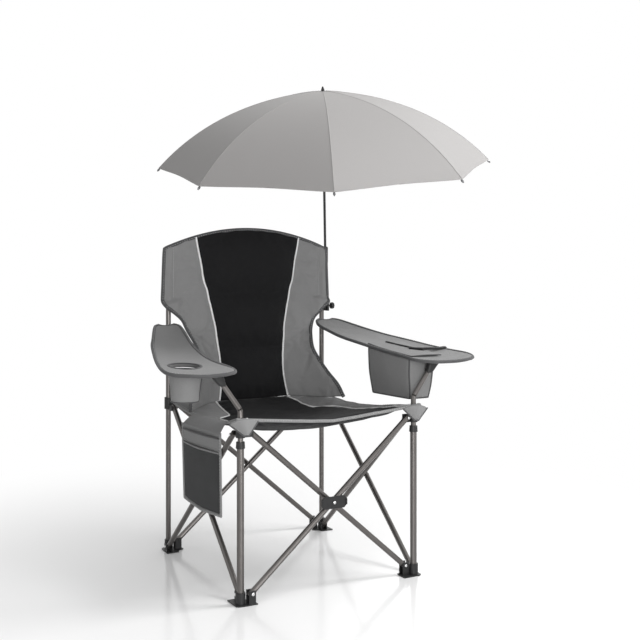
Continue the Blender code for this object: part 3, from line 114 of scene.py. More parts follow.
def pieceFrom(name, points, faces, corners, slots, finishes):
    mesh = bpy.data.meshes.new(name)
    mesh.from_pydata([home + Vector(p) for p in points], [], faces)
    layer = mesh.uv_layers.new(name="cloth")
    layer.data.foreach_set("uv", [x for face in corners for corner in face for x in corner])
    mesh.polygons.foreach_set("material_index", slots)
    for finish in finishes:
        mesh.materials.append(finish)
    made = bpy.data.objects.new(name, mesh)
    bpy.context.scene.collection.objects.link(made)
    shape = bmesh.new()
    shape.from_mesh(mesh)
    bmesh.ops.recalc_face_normals(shape, faces=shape.faces)
    shape.to_mesh(mesh)
    shape.free()
    mesh.shade_smooth()
    return made


def skin(name, front, rear, finishes, slotOf=None, rearSlot=0, rimSlot=0, round=False):
    # a thin body between two grids of points; the UV map is in metres along the cloth
    rows, columns = len(front), len(front[0])
    points = [p for row in front for p in row] + [p for row in rear for p in row]
    total = rows * columns
    acrossAt, alongAt = [], []
    for r in range(rows):
        line = [0.0]
        for c in range(columns):
            line.append(line[-1] + (front[r][(c + 1) % columns] - front[r][c]).length)
        acrossAt.append(line)
    for c in range(columns):
        line = [0.0]
        for r in range(rows - 1):
            line.append(line[-1] + (front[r + 1][c] - front[r][c]).length)
        alongAt.append(line)
    faces, corners, slots = [], [], []

    def add(cells, places, slot):
        faces.append(cells)
        corners.append([(acrossAt[r][c], alongAt[c % columns][r]) for r, c in places])
        slots.append(slot)

    for r in range(rows - 1):
        for c in range(columns if round else columns - 1):
            d = (c + 1) % columns
            quad = [(r, c), (r, c + 1), (r + 1, c + 1), (r + 1, c)]
            cells = [r * columns + c, r * columns + d, (r + 1) * columns + d, (r + 1) * columns + c]
            add(cells, quad, slotOf(r, c) if slotOf else 0)
            add([total + i for i in cells[::-1]], quad[::-1], rearSlot)
    for r in (0, rows - 1):
        for c in range(columns if round else columns - 1):
            d = (c + 1) % columns
            a, b = r * columns + c, r * columns + d
            add([a, b, total + b, total + a], [(r, c), (r, c + 1), (r, c + 1), (r, c)], rimSlot)
    for c in (() if round else (0, columns - 1)):
        for r in range(rows - 1):
            a, b = r * columns + c, (r + 1) * columns + c
            add([a, b, total + b, total + a], [(r, c), (r + 1, c), (r + 1, c), (r, c)], rimSlot)
    return pieceFrom(name, points, faces, corners, slots, finishes)


def cord(name, path, width, depth, finish, facing, closed=False, sides=10):
    # a rounded strip along a path: half its width lies in the cloth, half its depth stands off it
    path = [Vector(p) for p in path]
    count = len(path)
    points, faces, corners = [], [], []
    around = tau * (width + depth) / 2
    run = 0.0
    runs = []
    for i, place in enumerate(path):
        before = path[i - 1] if i or closed else place
        after = path[(i + 1) % count] if i < count - 1 or closed else place
        along = (after - before).normalized()
        up = Vector(facing[i] if isinstance(facing, list) else facing)
        side = along.cross(up).normalized()
        up = side.cross(along)
        for k in range(sides):
            a = tau * k / sides
            points.append(place + side * (width * math.cos(a)) + up * (depth * math.sin(a)))
        runs.append(run)
        run += (after - place).length
    rings = count if closed else count - 1
    for i in range(rings):
        j = (i + 1) % count
        for k in range(sides):
            m = (k + 1) % sides
            faces.append([i * sides + k, i * sides + m, j * sides + m, j * sides + k])
            end = runs[j] if j else run
            low, high = around * k / sides, around * (k + 1) / sides
            corners.append([(low, runs[i]), (high, runs[i]), (high, end), (low, end)])
    if not closed:
        for ring in (0, count - 1):
            faces.append([ring * sides + k for k in range(sides)])
            corners.append([(around * k / sides, runs[ring]) for k in range(sides)])
    return pieceFrom(name, points, faces, corners, [0] * len(faces), [finish])


def stitches(name, paths, gap, length, radius, finish):
    # short threads laid on the cloth; each path is (points, facing)
    points, faces, corners = [], [], []
    for path, facing in paths:
        line = evenly([Vector(p) for p in path], gap)
        for a, b in zip(line, line[1:]):
            along = (b - a).normalized()
            up = Vector(facing)
            side = along.cross(up).normalized()
            up = side.cross(along)
            middle = (a + b) / 2
            start = len(points)
            points.append(middle - along * length / 2)
            for k in range(5):
                t = tau * k / 5
                points.append(middle + side * (radius * math.cos(t)) + up * (radius * math.sin(t)))
            points.append(middle + along * length / 2)
            for k in range(5):
                m = (k + 1) % 5
                faces.append([start, start + 1 + k, start + 1 + m])
                faces.append([start + 6, start + 1 + m, start + 1 + k])
                corners.extend([[(0, 0), (radius, 0), (0, length)]] * 2)
    return pieceFrom(name, points, faces, corners, [0] * len(faces), [finish])


def applied(piece):
    # keeps what the modifiers make
    bpy.context.view_layer.update()
    graph = bpy.context.evaluated_depsgraph_get()
    made = bpy.data.meshes.new_from_object(piece.evaluated_get(graph))
    piece.modifiers.clear()
    piece.data = made
    return piece


def rounded(piece, levels=1):
    step = piece.modifiers.new("rounding", "SUBSURF")
    step.levels = step.render_levels = levels
    return applied(piece)


def cutAway(piece, tool):
    step = piece.modifiers.new("opening", "BOOLEAN")
    step.operation = "DIFFERENCE"
    step.object = tool
    applied(piece)
    bpy.data.objects.remove(tool, do_unlink=True)


def puffUp(piece, held, pressure, reach):
    # fills a closed padded body like a cushion, held at its seams, in a short cloth run
    group = piece.vertex_groups.new(name="seams")
    group.add(held, 1.0, "REPLACE")
    rest = [v.co.copy() for v in piece.data.vertices]
    cloth = piece.modifiers.new("filling", "CLOTH")
    cloth.settings.vertex_group_mass = "seams"
    cloth.settings.use_pressure = True
    cloth.settings.uniform_pressure_force = pressure
    cloth.settings.effector_weights.gravity = 0
    cloth.settings.quality = 5
    cloth.settings.shrink_min = -0.03
    cloth.collision_settings.use_collision = False
    cloth.point_cache.frame_start, cloth.point_cache.frame_end = 1, 20
    scene = bpy.context.scene
    for step in range(1, 21):
        scene.frame_set(step)
    graph = bpy.context.evaluated_depsgraph_get()
    swollen = piece.evaluated_get(graph).data
    moves = [after.co - before for after, before in zip(swollen.vertices, rest)]
    piece.modifiers.clear()
    for vertex, before, move in zip(piece.data.vertices, rest, moves):
        if move.length > reach:
            move = move * (reach / move.length)
        vertex.co = before + move
    piece.vertex_groups.clear()
    scene.frame_set(1)
    return piece


class Value:
    # a socket that takes part in sums
    def __init__(self, owner, socket):
        self.owner, self.socket = owner, socket

    def sum(self, operation, first, second=0.0):
        return self.owner.node("ShaderNodeMath", {"operation": operation}, {0: first, 1: second})

    def __add__(self, other):
        return self.sum("ADD", self, other)

    def __radd__(self, other):
        return self.sum("ADD", other, self)

    def __sub__(self, other):
        return self.sum("SUBTRACT", self, other)

    def __rsub__(self, other):
        return self.sum("SUBTRACT", other, self)

    def __mul__(self, other):
        return self.sum("MULTIPLY", self, other)

    def __rmul__(self, other):
        return self.sum("MULTIPLY", other, self)

    def __gt__(self, other):
        return self.sum("GREATER_THAN", self, other)

    def sine(self):
        return self.sum("SINE", self)


class NodeTree:
    def __init__(self, tree):
        self.tree = tree

    def node(self, kind, settings=None, sockets=None, output=0):
        made = self.tree.nodes.new(kind)
        for key, value in (settings or {}).items():
            setattr(made, key, value)
        for key, value in (sockets or {}).items():
            if isinstance(value, Value):
                self.tree.links.new(value.socket, made.inputs[key])
            else:
                made.inputs[key].default_value = value
        return Value(self, made.outputs[output])


class Finish(NodeTree):
    def __init__(self, name, fixed):
        self.material = bpy.data.materials.new(name)
        self.material.use_nodes = True
        super().__init__(self.material.node_tree)
        self.shader = self.tree.nodes["Principled BSDF"]
        for socket, value in fixed.items():
            self.shader.inputs[socket].default_value = value

    def feed(self, socket, value):
        self.tree.links.new(value.socket, self.shader.inputs[socket])

    def noise(self, scale, detail=3.0, rough=0.55, stretch=(1, 1, 1), place="Object"):
        source = self.node("ShaderNodeTexCoord", output=place)
        if stretch != (1, 1, 1):
            source = self.node("ShaderNodeMapping", None, {0: source, 3: stretch})
        sockets = {"Vector": source, "Scale": scale, "Detail": detail, "Roughness": rough}
        return self.node("ShaderNodeTexNoise", None, sockets)

    def along(self, axis):
        # how far along the cloth's map, across it (0) or down it (1)
        place = self.node("ShaderNodeTexCoord", output="UV")
        return self.node("ShaderNodeSeparateXYZ", None, {0: place}, axis)

    def weave(self, across, down):
        # crossing threads, from 0 to 1
        return (self.along(0) * (tau / across)).sine() * (self.along(1) * (tau / down)).sine() * 0.5 + 0.5

    def tint(self, factor, first, second):
        return self.node("ShaderNodeMix", {"data_type": "RGBA"}, {0: factor, 6: first, 7: second}, 2)

    def relief(self, height, distance, strength=1.0):
        sockets = {"Height": height, "Distance": distance, "Strength": strength}
        self.feed("Normal", self.node("ShaderNodeBump", None, sockets))


def shaded(colour, amount):
    return tuple(min(c * amount, 1.0) for c in colour) + (1.0,)


def wovenCloth(name, colour, thread=0.0012, mottle=0.12, rough=0.86, sheen=0.12, crease=0.0016,
               strength=0.6):
    made = Finish(name, {"Sheen Weight": sheen, "Sheen Roughness": 0.5, "Specular IOR Level": 0.2})
    weave = made.weave(thread, thread)
    cloudy = made.noise(7, 4, 0.6)
    worn = made.noise(46, 5, 0.65)
    slub = made.noise(1, 2, 0.5, (60, 700, 1), "UV")
    flecks = made.noise(430, 2, 0.7)
    tone = cloudy * 0.2 + worn * 0.15 + weave * 0.1 + slub * 0.1 + flecks * 0.45
    made.feed("Base Color", made.tint(tone, shaded(colour, 1 - mottle * 1.5), shaded(colour, 1 + mottle * 1.5)))
    made.feed("Roughness", worn * 0.12 + (rough - 0.06))
    creases = made.noise(24, 3, 0.5, (1, 1, 0.55))
    made.relief(weave * 0.16 + slub * 0.1 + creases * 0.9, crease, strength)
    return made.material


def nettedCloth(name, colour):
    # an open knitted mesh over a dark lining
    made = Finish(name, {"Sheen Weight": 0.08, "Specular IOR Level": 0.2})
    holes = made.weave(0.0026, 0.0034)
    cloudy = made.noise(14, 4, 0.6)
    tone = holes * 0.5 + cloudy * 0.5
    made.feed("Base Color", made.tint(tone, shaded(colour, 0.55), shaded(colour, 1.5)))
    made.feed("Roughness", holes * 0.2 + 0.72)
    made.relief(holes * 0.5 + cloudy * 0.5, 0.0012, 0.7)
    return made.material


def wovenTape(name, colour, rough=0.7):
    # ribbed binding tape: ribs run across the strip
    made = Finish(name, {"Sheen Weight": 0.1, "Specular IOR Level": 0.25})
    ribs = (made.along(1) * (tau / 0.0016)).sine() * 0.5 + 0.5
    cloudy = made.noise(60, 3, 0.6)
    made.feed("Base Color", made.tint(ribs * 0.5 + cloudy * 0.5, shaded(colour, 0.72), shaded(colour, 1.3)))
    made.feed("Roughness", cloudy * 0.15 + (rough - 0.08))
    made.relief(ribs * 0.6 + cloudy * 0.4, 0.0006, 0.6)
    return made.material


def paintedTube(name, colour, metallic, rough):
    # powder-coated steel: a fine orange peel, a few long rub marks
    made = Finish(name, {"Coat Weight": 0.12, "Coat Roughness": 0.3})
    peel = made.noise(900, 2, 0.5)
    cloudy = made.noise(12, 4, 0.6)
    rubs = made.noise(9, 6, 0.7, (14, 14, 1.2))
    worn = (rubs > 0.66) * 0.5
    tone = cloudy * 0.6 + peel * 0.2 + worn * 0.5
    made.feed("Base Color", made.tint(tone, shaded(colour, 0.8), shaded(colour, 1.3)))
    made.feed("Roughness", cloudy * 0.14 + rubs * 0.1 + (rough - 0.1))
    made.feed("Metallic", metallic - worn * 0.2)
    made.relief(peel, 0.00012, 0.35)
    return made.material


def mouldedPlastic(name, colour, rough=0.46):
    made = Finish(name, {"Specular IOR Level": 0.4})
    grain = made.noise(1400, 2, 0.6)
    cloudy = made.noise(30, 4, 0.6)
    scuffs = made.noise(70, 6, 0.75, (1, 1, 3))
    marks = (scuffs > 0.64) * 1.0
    tone = cloudy * 0.4 + grain * 0.2 + marks * 0.4
    made.feed("Base Color", made.tint(tone, shaded(colour, 0.8), shaded(colour, 2.2)))
    made.feed("Roughness", grain * 0.12 + marks * 0.12 + (rough - 0.06))
    made.relief(grain * 0.7 + marks * 0.3, 0.0002, 0.5)
    return made.material


def brightMetal(name, colour, rough):
    made = Finish(name, {})
    brushed = made.noise(60, 4, 0.6, (1, 1, 0.05))
    spots = made.noise(180, 3, 0.6)
    made.feed("Base Color", made.tint(spots * 0.5 + brushed * 0.5, shaded(colour, 0.85), shaded(colour, 1.1)))
    made.feed("Roughness", brushed * 0.2 + (rough - 0.1))
    made.feed("Metallic", 0.95 + spots * 0.05)
    made.relief(brushed, 0.0001, 0.3)
    return made.material


greyCloth = wovenCloth("grey_oxford_cloth", (0.222, 0.222, 0.222), mottle=0.17)
blackCloth = wovenCloth("black_padded_cloth", (0.0078, 0.0078, 0.0085), mottle=0.2, sheen=0.03,
                        crease=0.0012)
liningCloth = wovenCloth("black_lining", (0.016, 0.016, 0.017), mottle=0.2, sheen=0.05)
thinWeave = {"thread": 0.0006, "crease": 0.0007, "strength": 0.35}
shadeCloth = wovenCloth("sunshade_cloth", (0.312, 0.303, 0.299), mottle=0.04, rough=0.62, sheen=0.1,
                        **thinWeave)
shadeUnder = wovenCloth("sunshade_coating", (0.33, 0.33, 0.335), mottle=0.05, rough=0.5, sheen=0.0,
                        **thinWeave)
meshCloth = nettedCloth("dark_pocket_mesh", (0.032, 0.033, 0.034))
lightTape = wovenTape("light_grey_tape", (0.23, 0.23, 0.23))
darkTape = wovenTape("dark_grey_tape", (0.075, 0.075, 0.077))
blackTape = wovenTape("black_webbing", (0.006, 0.006, 0.0065), 0.7)
whiteTape = wovenTape("white_piping", (0.80, 0.80, 0.79), 0.55)
paleThread = wovenTape("pale_thread", (0.50, 0.50, 0.50), 0.6)
tubeMetal = paintedTube("gunmetal_tube", (0.132, 0.123, 0.118), 0.84, 0.30)
shaftMetal = paintedTube("black_shaft", (0.022, 0.022, 0.023), 0.5, 0.42)
blackPlastic = mouldedPlastic("black_plastic", (0.012, 0.012, 0.0125))
silverMetal = brightMetal("silver_tube", (0.60, 0.60, 0.61), 0.32)
rivetMetal = brightMetal("rivet_steel", (0.72, 0.72, 0.72), 0.28)
ribMetal = brightMetal("rib_wire", (0.16, 0.16, 0.165), 0.4)
print("finishes made")

# the last key that is in a node's name gives its finish
nodeFinish = {
    "post": tubeMetal, "tube": tubeMetal, "foot": blackPlastic, "bracket": blackPlastic,
    "collar": blackPlastic, "clamp": blackPlastic, "lower_pole": silverMetal, "shaft": shaftMetal,
    "shaft_catch": blackPlastic, "crown": blackPlastic, "runner": blackPlastic, "rib": ribMetal,
    "stretcher": ribMetal,
}
for nodeName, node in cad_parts.items():
    finish = next((m for key, m in reversed(nodeFinish.items()) if key in nodeName), blackPlastic)
    if not node.material_slots:
        node.data.materials.append(finish)
    for materialSlot in node.material_slots:
        materialSlot.material = finish

# strips as half width and half depth, threads as gap, length and radius
sewn = {
    "seatPiping": (0.0028, 0.0028), "seatFront": (0.0050, 0.0030), "seatSide": (0.0058, 0.0040),
    "corner": (0.0022, 0.0018), "backPiping": (0.0031, 0.0031), "backEdge": (0.0062, 0.0050),
    "armEdge": (0.0052, 0.0050), "cupSeam": (0.0016, 0.0016), "cupRim": (0.0042, 0.0016),
    "cupSide": (0.0016, 0.0008), "bagBase": (0.0024, 0.0024), "bagEdge": (0.0024, 0.0022),
    "lidEdge": (0.0020, 0.0018), "zip": (0.0056, 0.0034), "strap": (0.0085, 0.0042),
    "pull": (0.0028, 0.0009), "pocketEdge": (0.0046, 0.0030), "pocketHem": (0.0024, 0.0014),
    "shadeSeam": (0.0015, 0.0006), "shadeHem": (0.0014, 0.0011),
    "thread": (0.0080, 0.0046, 0.0007), "wideThread": (0.0085, 0.0050, 0.0008),
    "channelThread": (0.006, 0.004, 0.00045),
}
forwards, upward = (0, -1, 0), (0, 0, 1)


seat = {
    "rearInset": 0.024, "cornerOut": 0.017, "waist": 0.014, "sag": 0.025, "sideDip": 0.021, "pull": 0.007,
    "frontDip": 0.026, "rearHeight": 0.470, "frontHeight": 0.500, "cloth": 0.005, "fill": 0.0045,
    "padDepth": 0.009, "crumple": 0.0016, "fineCrumple": 0.0009, "pucker": 0.0016, "pressure": 2.5,
    "mostSwell": 0.006, "rows": 66, "padColumns": 34, "sideColumns": 9,
}
# how far out the piping runs, from the fold to the front edge
seatPiping = [
    (0.0, 0.128), (0.12, 0.136), (0.24, 0.140), (0.29, 0.147), (0.335, 0.174), (0.38, 0.197),
    (0.45, 0.204), (0.6, 0.208), (0.75, 0.225), (0.88, 0.243), (1.0, 0.262),
]


def seatEdge(forward):
    rear, front = postHalf - seat["rearInset"], -postHalf - seat["cornerOut"] / 2
    narrow = seat["waist"] * math.sin(math.pi * min(max(forward, 0), 1)) ** 1.2
    atRear, atFront = postHalf - seat["rearInset"] / 2, postHalf + seat["cornerOut"]
    return atRear + (atFront - atRear) * forward**4 - narrow, rear + (front - rear) * forward


def seatTop(x, y):
    rear, front = postHalf - seat["rearInset"], -postHalf - seat["cornerOut"] / 2
    forward = min(max((rear - y) / (rear - front), 0), 1)
    side = min(abs(x) / seatEdge(forward)[0], 1)
    corner = seat["rearHeight"] + (seat["frontHeight"] - seat["rearHeight"]) * forward**1.5
    # the left side hangs lower, because the pocket pulls on it
    dip = seat["sideDip"] - seat["pull"] * min(max(x / postHalf, -1), 1)
    edge = corner - dip * math.sin(math.pi * forward)
    across = 1 - side**2
    sag = seat["sag"] * math.sin(math.pi * forward)
    frontDip = seat["frontDip"] * forward**3 * (1 - side**1.2)
    return edge - sag * across - frontDip - 0.005 * (1 - forward) ** 3 * across


def seatGrid():
    top, under = [], []
    sides = [i / seat["sideColumns"] for i in range(seat["sideColumns"] + 1)]
    for r in range(seat["rows"]):
        forward = r / (seat["rows"] - 1)
        edge, y = seatEdge(forward)
        piping = min(readTable(seatPiping, forward)[0], edge - 0.012)
        xs = [-edge + (edge - piping) * s for s in sides]
        xs += [piping * (2 * i / seat["padColumns"] - 1) for i in range(1, seat["padColumns"])]
        xs += [piping + (edge - piping) * s for s in sides]
        topRow, underRow = [], []
        for x in xs:
            inside = max(0.0, 1 - (abs(x) / piping) ** 4)
            out = min(max((abs(x) - piping) / max(edge - piping, 0.001), 0), 1)
            full = inside + 0.5 * math.sin(math.pi * out)
            swell = seat["fill"] * full * math.sin(math.pi * (0.06 + 0.88 * forward)) ** 0.5
            crumple = seat["crumple"] * ripple((x, y, 0), 0.05)
            crumple += seat["fineCrumple"] * ripple((x * 2.2, y, 0), 0.022, 3)
            # the cloth puckers round the front corners
            near = smoothStep(0.16, 0.0, math.hypot(abs(x) - edge, y + postHalf))
            turn = math.atan2(y + postHalf + 0.02, abs(x) - edge - 0.02)
            crumple += seat["pucker"] * near * math.sin(turn * 26)
            z = seatTop(x, y) + (swell + crumple) * math.sin(math.pi * (0.05 + 0.9 * forward)) ** 0.4
            thick = seat["cloth"] + seat["padDepth"] * inside * math.sin(math.pi * (0.10 + 0.80 * forward))
            topRow.append(Vector((x, y, z)))
            underRow.append(Vector((x, y, z - thick - swell * 0.5)))
        top.append(topRow)
        under.append(underRow)
    return top, under


def buildSeat():
    top, under = seatGrid()
    first, last = seat["sideColumns"], seat["sideColumns"] + seat["padColumns"]
    cloth = skin("seat_panel", top, under, [greyCloth, blackCloth, liningCloth],
                 lambda r, c: 1 if first <= c < last else 0, 2, 1)
    columns = len(top[0])
    held = []
    for r in range(seat["rows"]):
        for c in range(columns):
            if r in (0, seat["rows"] - 1) or c in (0, first, last, columns - 1):
                held += [r * columns + c, seat["rows"] * columns + r * columns + c]
    puffUp(cloth, held, seat["pressure"], seat["mostSwell"])
    rounded(cloth)
    pieces = [cloth]
    for c, label in ((first, "left"), (last, "right")):
        line = [row[c] + Vector((0, 0, 0.0018)) for row in top]
        pieces.append(cord("seat_piping_" + label, line, *sewn["seatPiping"], whiteTape, upward))
    frontLine = [p + Vector((0, -0.002, -0.0015)) for p in top[-1]]
    lipFacing = (0, -0.75, 0.65)
    pieces.append(cord("seat_front_binding", frontLine, *sewn["seatFront"], lightTape, lipFacing, sides=12))
    threads = [([p + Vector((0, -0.0040, 0.0014)) for p in frontLine], lipFacing)]
    for c, label in ((0, "left"), (columns - 1, "right")):
        line = [(row[c] + low[c]) / 2 for row, low in zip(top, under)]
        pieces.append(cord("seat_side_binding_" + label, line, *sewn["seatSide"], lightTape, upward, sides=12))
        inset = Vector((0.0026 if c == 0 else -0.0026, 0, 0.0045))
        threads.append(([p + inset for p in line], upward))
    pieces.append(stitches("seat_stitches", threads, *sewn["thread"], paleThread))
    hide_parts("seat")
    return pieces


corner = {
    "top": [(0.232, -0.293, 0.4905), (0.254, -0.2975, 0.4985), (0.277, -0.300, 0.5005),
            (0.300, -0.2985, 0.4965), (0.318, -0.292, 0.488)],
    "tip": (0.271, -0.3065, 0.450), "steps": 10, "capSteps": 5, "cloth": 0.0022, "capCloth": 0.002,
}


def buildCorner(sign, label):
    # the triangle of cloth that wraps each front bracket
    front, rear = [], []
    tip = Vector(corner["tip"])
    upper = evenly([Vector(p) for p in corner["top"]], 0.012)
    for r in range(corner["steps"] + 1):
        share = r / corner["steps"] * 0.86
        row = []
        for i, p in enumerate(upper):
            across = i / (len(upper) - 1)
            place = p.lerp(tip, share)
            place.y -= 0.0045 * math.sin(math.pi * across) * math.sin(math.pi * min(share + 0.12, 1))
            place.y -= 0.0008 * ripple(place, 0.02, sign)
            row.append(Vector((sign * place.x, place.y, place.z)))
        front.append(row)
        rear.append([p + Vector((0, corner["cloth"], 0)) for p in row])
    flap = rounded(skin("seat_corner_" + label, front, rear, [greyCloth]))
    outline = [row[0] for row in front] + front[-1][1:-1] + [row[-1] for row in front[::-1]]
    trim = cord("seat_corner_binding_" + label, outline, *sewn["corner"], darkTape, forwards)
    # the cloth above the bracket, out to the corner's point
    cap, below = [], []
    for r in range(corner["capSteps"] + 1):
        share = r / corner["capSteps"]
        row = []
        for i, p in enumerate(upper):
            back = Vector((min(p.x, 0.284), -0.256, 0.0))
            back.z = seatTop(min(abs(back.x), 0.27), back.y) + 0.0025
            place = p.lerp(back, share)
            row.append(Vector((sign * place.x, place.y, place.z + 0.002 * math.sin(math.pi * share))))
        cap.append(row)
        below.append([p - Vector((0, 0, corner["capCloth"])) for p in row])
    hood = rounded(skin("seat_corner_top_" + label, cap, below, [greyCloth]))
    for piece in (flap, hood):
        sheetCut(piece)
        sheetArea(piece)
    return [flap, trim, hood]


def sheetArea(piece):
    # one side of a thin skin
    piece.data.update()
    return sum(p.area for p in piece.data.polygons) / 2


def sheetCut(piece, ratio=1.3):
    # a rectangle somewhat larger than the cut, with sides near the piece's own
    area = sheetArea(piece) * 1.5
    return (math.sqrt(area / ratio), math.sqrt(area * ratio))


back = {
    "top": 1.019, "cornerDrop": 0.068, "halfWidth": 0.302, "foldDepth": 0.233, "reach": 0.150,
    "padHalf": 0.186, "padFill": 0.0155, "cloth": 0.0055, "channels": (0.30, 0.62), "rows": 92,
    "padColumns": 28, "sleeve": 0.0112, "sleeveStart": 0.655, "sleeveSide": 0.255, "seamInset": 0.0145,
    "clampRoom": 0.0165, "wingFill": 0.004, "seamDepth": 0.0022, "drag": 0.0008, "crumple": 0.0022,
    "fineCrumple": 0.0009, "gather": 0.0012, "sleeveSeam": 0.0016, "pressure": 3.0, "mostSwell": 0.007,
    "wing": [0, .07, .15, .23, .31, .39, .47, .54, .6, .65, .69, .72, .75, .78, .81, .84, .87, .90, .93,
             .965, 1.0],
}
# share of the height, then piping, edge and how far the edge comes forward
backOutline = [
    (0.000, 0.66, 0.890, 0.80), (0.080, 0.62, 0.850, 0.76), (0.160, 0.60, 0.770, 0.68),
    (0.240, 0.61, 0.705, 0.56), (0.300, 0.63, 0.672, 0.45), (0.360, 0.65, 0.690, 0.32),
    (0.430, 0.67, 0.735, 0.16), (0.500, 0.71, 0.785, 0.08), (0.554, 0.74, 0.862, 0.03),
    (0.594, 0.77, 0.925, 0.01), (0.630, 0.79, 0.978, 0.00), (0.665, 0.81, 0.988, 0.00),
    (0.720, 0.86, 0.986, 0.00), (0.830, 0.91, 0.980, 0.00), (0.900, 0.95, 0.975, 0.00),
    (0.955, 0.98, 0.972, 0.00), (1.000, 1.00, 0.966, 0.00),
]


def backDepth(share):
    return back["foldDepth"] + (postHalf - back["foldDepth"]) * (1 - (1 - share) ** 2.2)


def backPuff(share):
    stops = (0.0, *back["channels"], 1.0)
    for low, high in zip(stops, stops[1:]):
        if low <= share <= high:
            return math.sin(math.pi * (share - low) / (high - low)) ** 0.55
    return 0.0


def backGrid():
    front, rear = [], []
    for r in range(back["rows"]):
        share = r / (back["rows"] - 1)
        piping, edge, forward = readTable(backOutline, share)
        halfPad, halfEdge = back["padHalf"] * piping, back["halfWidth"] * edge
        wing = [halfPad + (halfEdge - halfPad) * w for w in back["wing"]]
        pad = [halfPad * (2 * i / back["padColumns"] - 1) for i in range(1, back["padColumns"])]
        frontRow, rearRow = [], []
        for x in [-x for x in wing[::-1]] + pad + wing:
            size = abs(x)
            out = max(size - halfPad, 0) / (halfEdge - halfPad)
            top = back["top"] - back["cornerDrop"] * (size / back["halfWidth"]) ** 2
            depth = backDepth(share)
            y = depth + (postHalf - depth) * min(out * 1.6, 1) * min(share * 2.5, 1)
            y -= back["reach"] * forward * out**1.5
            # the wing's lower corner passes in front of the clamp
            y -= (back["clampRoom"] * smoothStep(0.215, 0.262, size) * smoothStep(0.38, 0.53, share)
                  * smoothStep(0.662, 0.625, share))
            low = seatTop(x, y) + 0.0018 + seat["fill"] * 1.2
            z = low + (top - low) * share
            inside = max(0.0, 1 - (size / halfPad) ** 4)
            edgeFade = math.sin(math.pi * min(share * 0.97 + 0.03, 1)) ** 0.3 if share < 1 else 0.3
            swell = back["padFill"] * inside * backPuff(share)
            swell += back["wingFill"] * math.sin(math.pi * min(out, 1)) * edgeFade
            swell -= back["seamDepth"] * math.exp(-(((size - halfPad) / 0.005) ** 2))
            drag = math.sin((z * 0.8 + size * 1.5) * tau / 0.062 + 2.2 * ripple((x, 0, z), 0.09, 5))
            creased = (back["drag"] * drag * math.sin(math.pi * out) * smoothStep(0.34, 0.5, share)
                       * smoothStep(0.92, 0.7, share))
            creased += back["crumple"] * ripple((x, y * 0.3, z), 0.075) * (0.35 + 0.65 * min(out * 3, 1))
            creased += back["fineCrumple"] * ripple((x * 2, 0, z), 0.028, 9)
            for channel in back["channels"]:
                near = math.exp(-(((share - channel) * 0.55 / 0.02) ** 2)) * inside
                folds = math.sin(x * tau / 0.016 + 3 * ripple((x, 0, z), 0.05, 2))
                creased += back["gather"] * near * folds
            thick = back["cloth"] + swell + creased
            sleeve = 0.0
            if share > back["sleeveStart"] and size > back["sleeveSide"]:
                high = smoothStep(0.905, 0.875, z) * 0.65 + 0.35
                sleeve = math.sqrt(max(0.0, back["sleeve"] ** 2 - (size - postHalf) ** 2)) * high
                seam = math.exp(-(((size - postHalf + back["seamInset"]) / 0.003) ** 2))
                thick -= back["sleeveSeam"] * seam
            frontRow.append(Vector((x, y - max(thick, sleeve + 0.2 * creased), z)))
            rearRow.append(Vector((x, y + sleeve, z)))
        front.append(frontRow)
        rear.append(rearRow)
    return front, rear


def edgeNormals(grid, c, inward):
    found = []
    for r in range(len(grid)):
        along = grid[min(r + 1, len(grid) - 1)][c] - grid[max(r - 1, 0)][c]
        across = grid[r][c] - grid[r][c + inward]
        normal = across.cross(along).normalized()
        found.append(normal if normal.y < 0 else -normal)
    return found


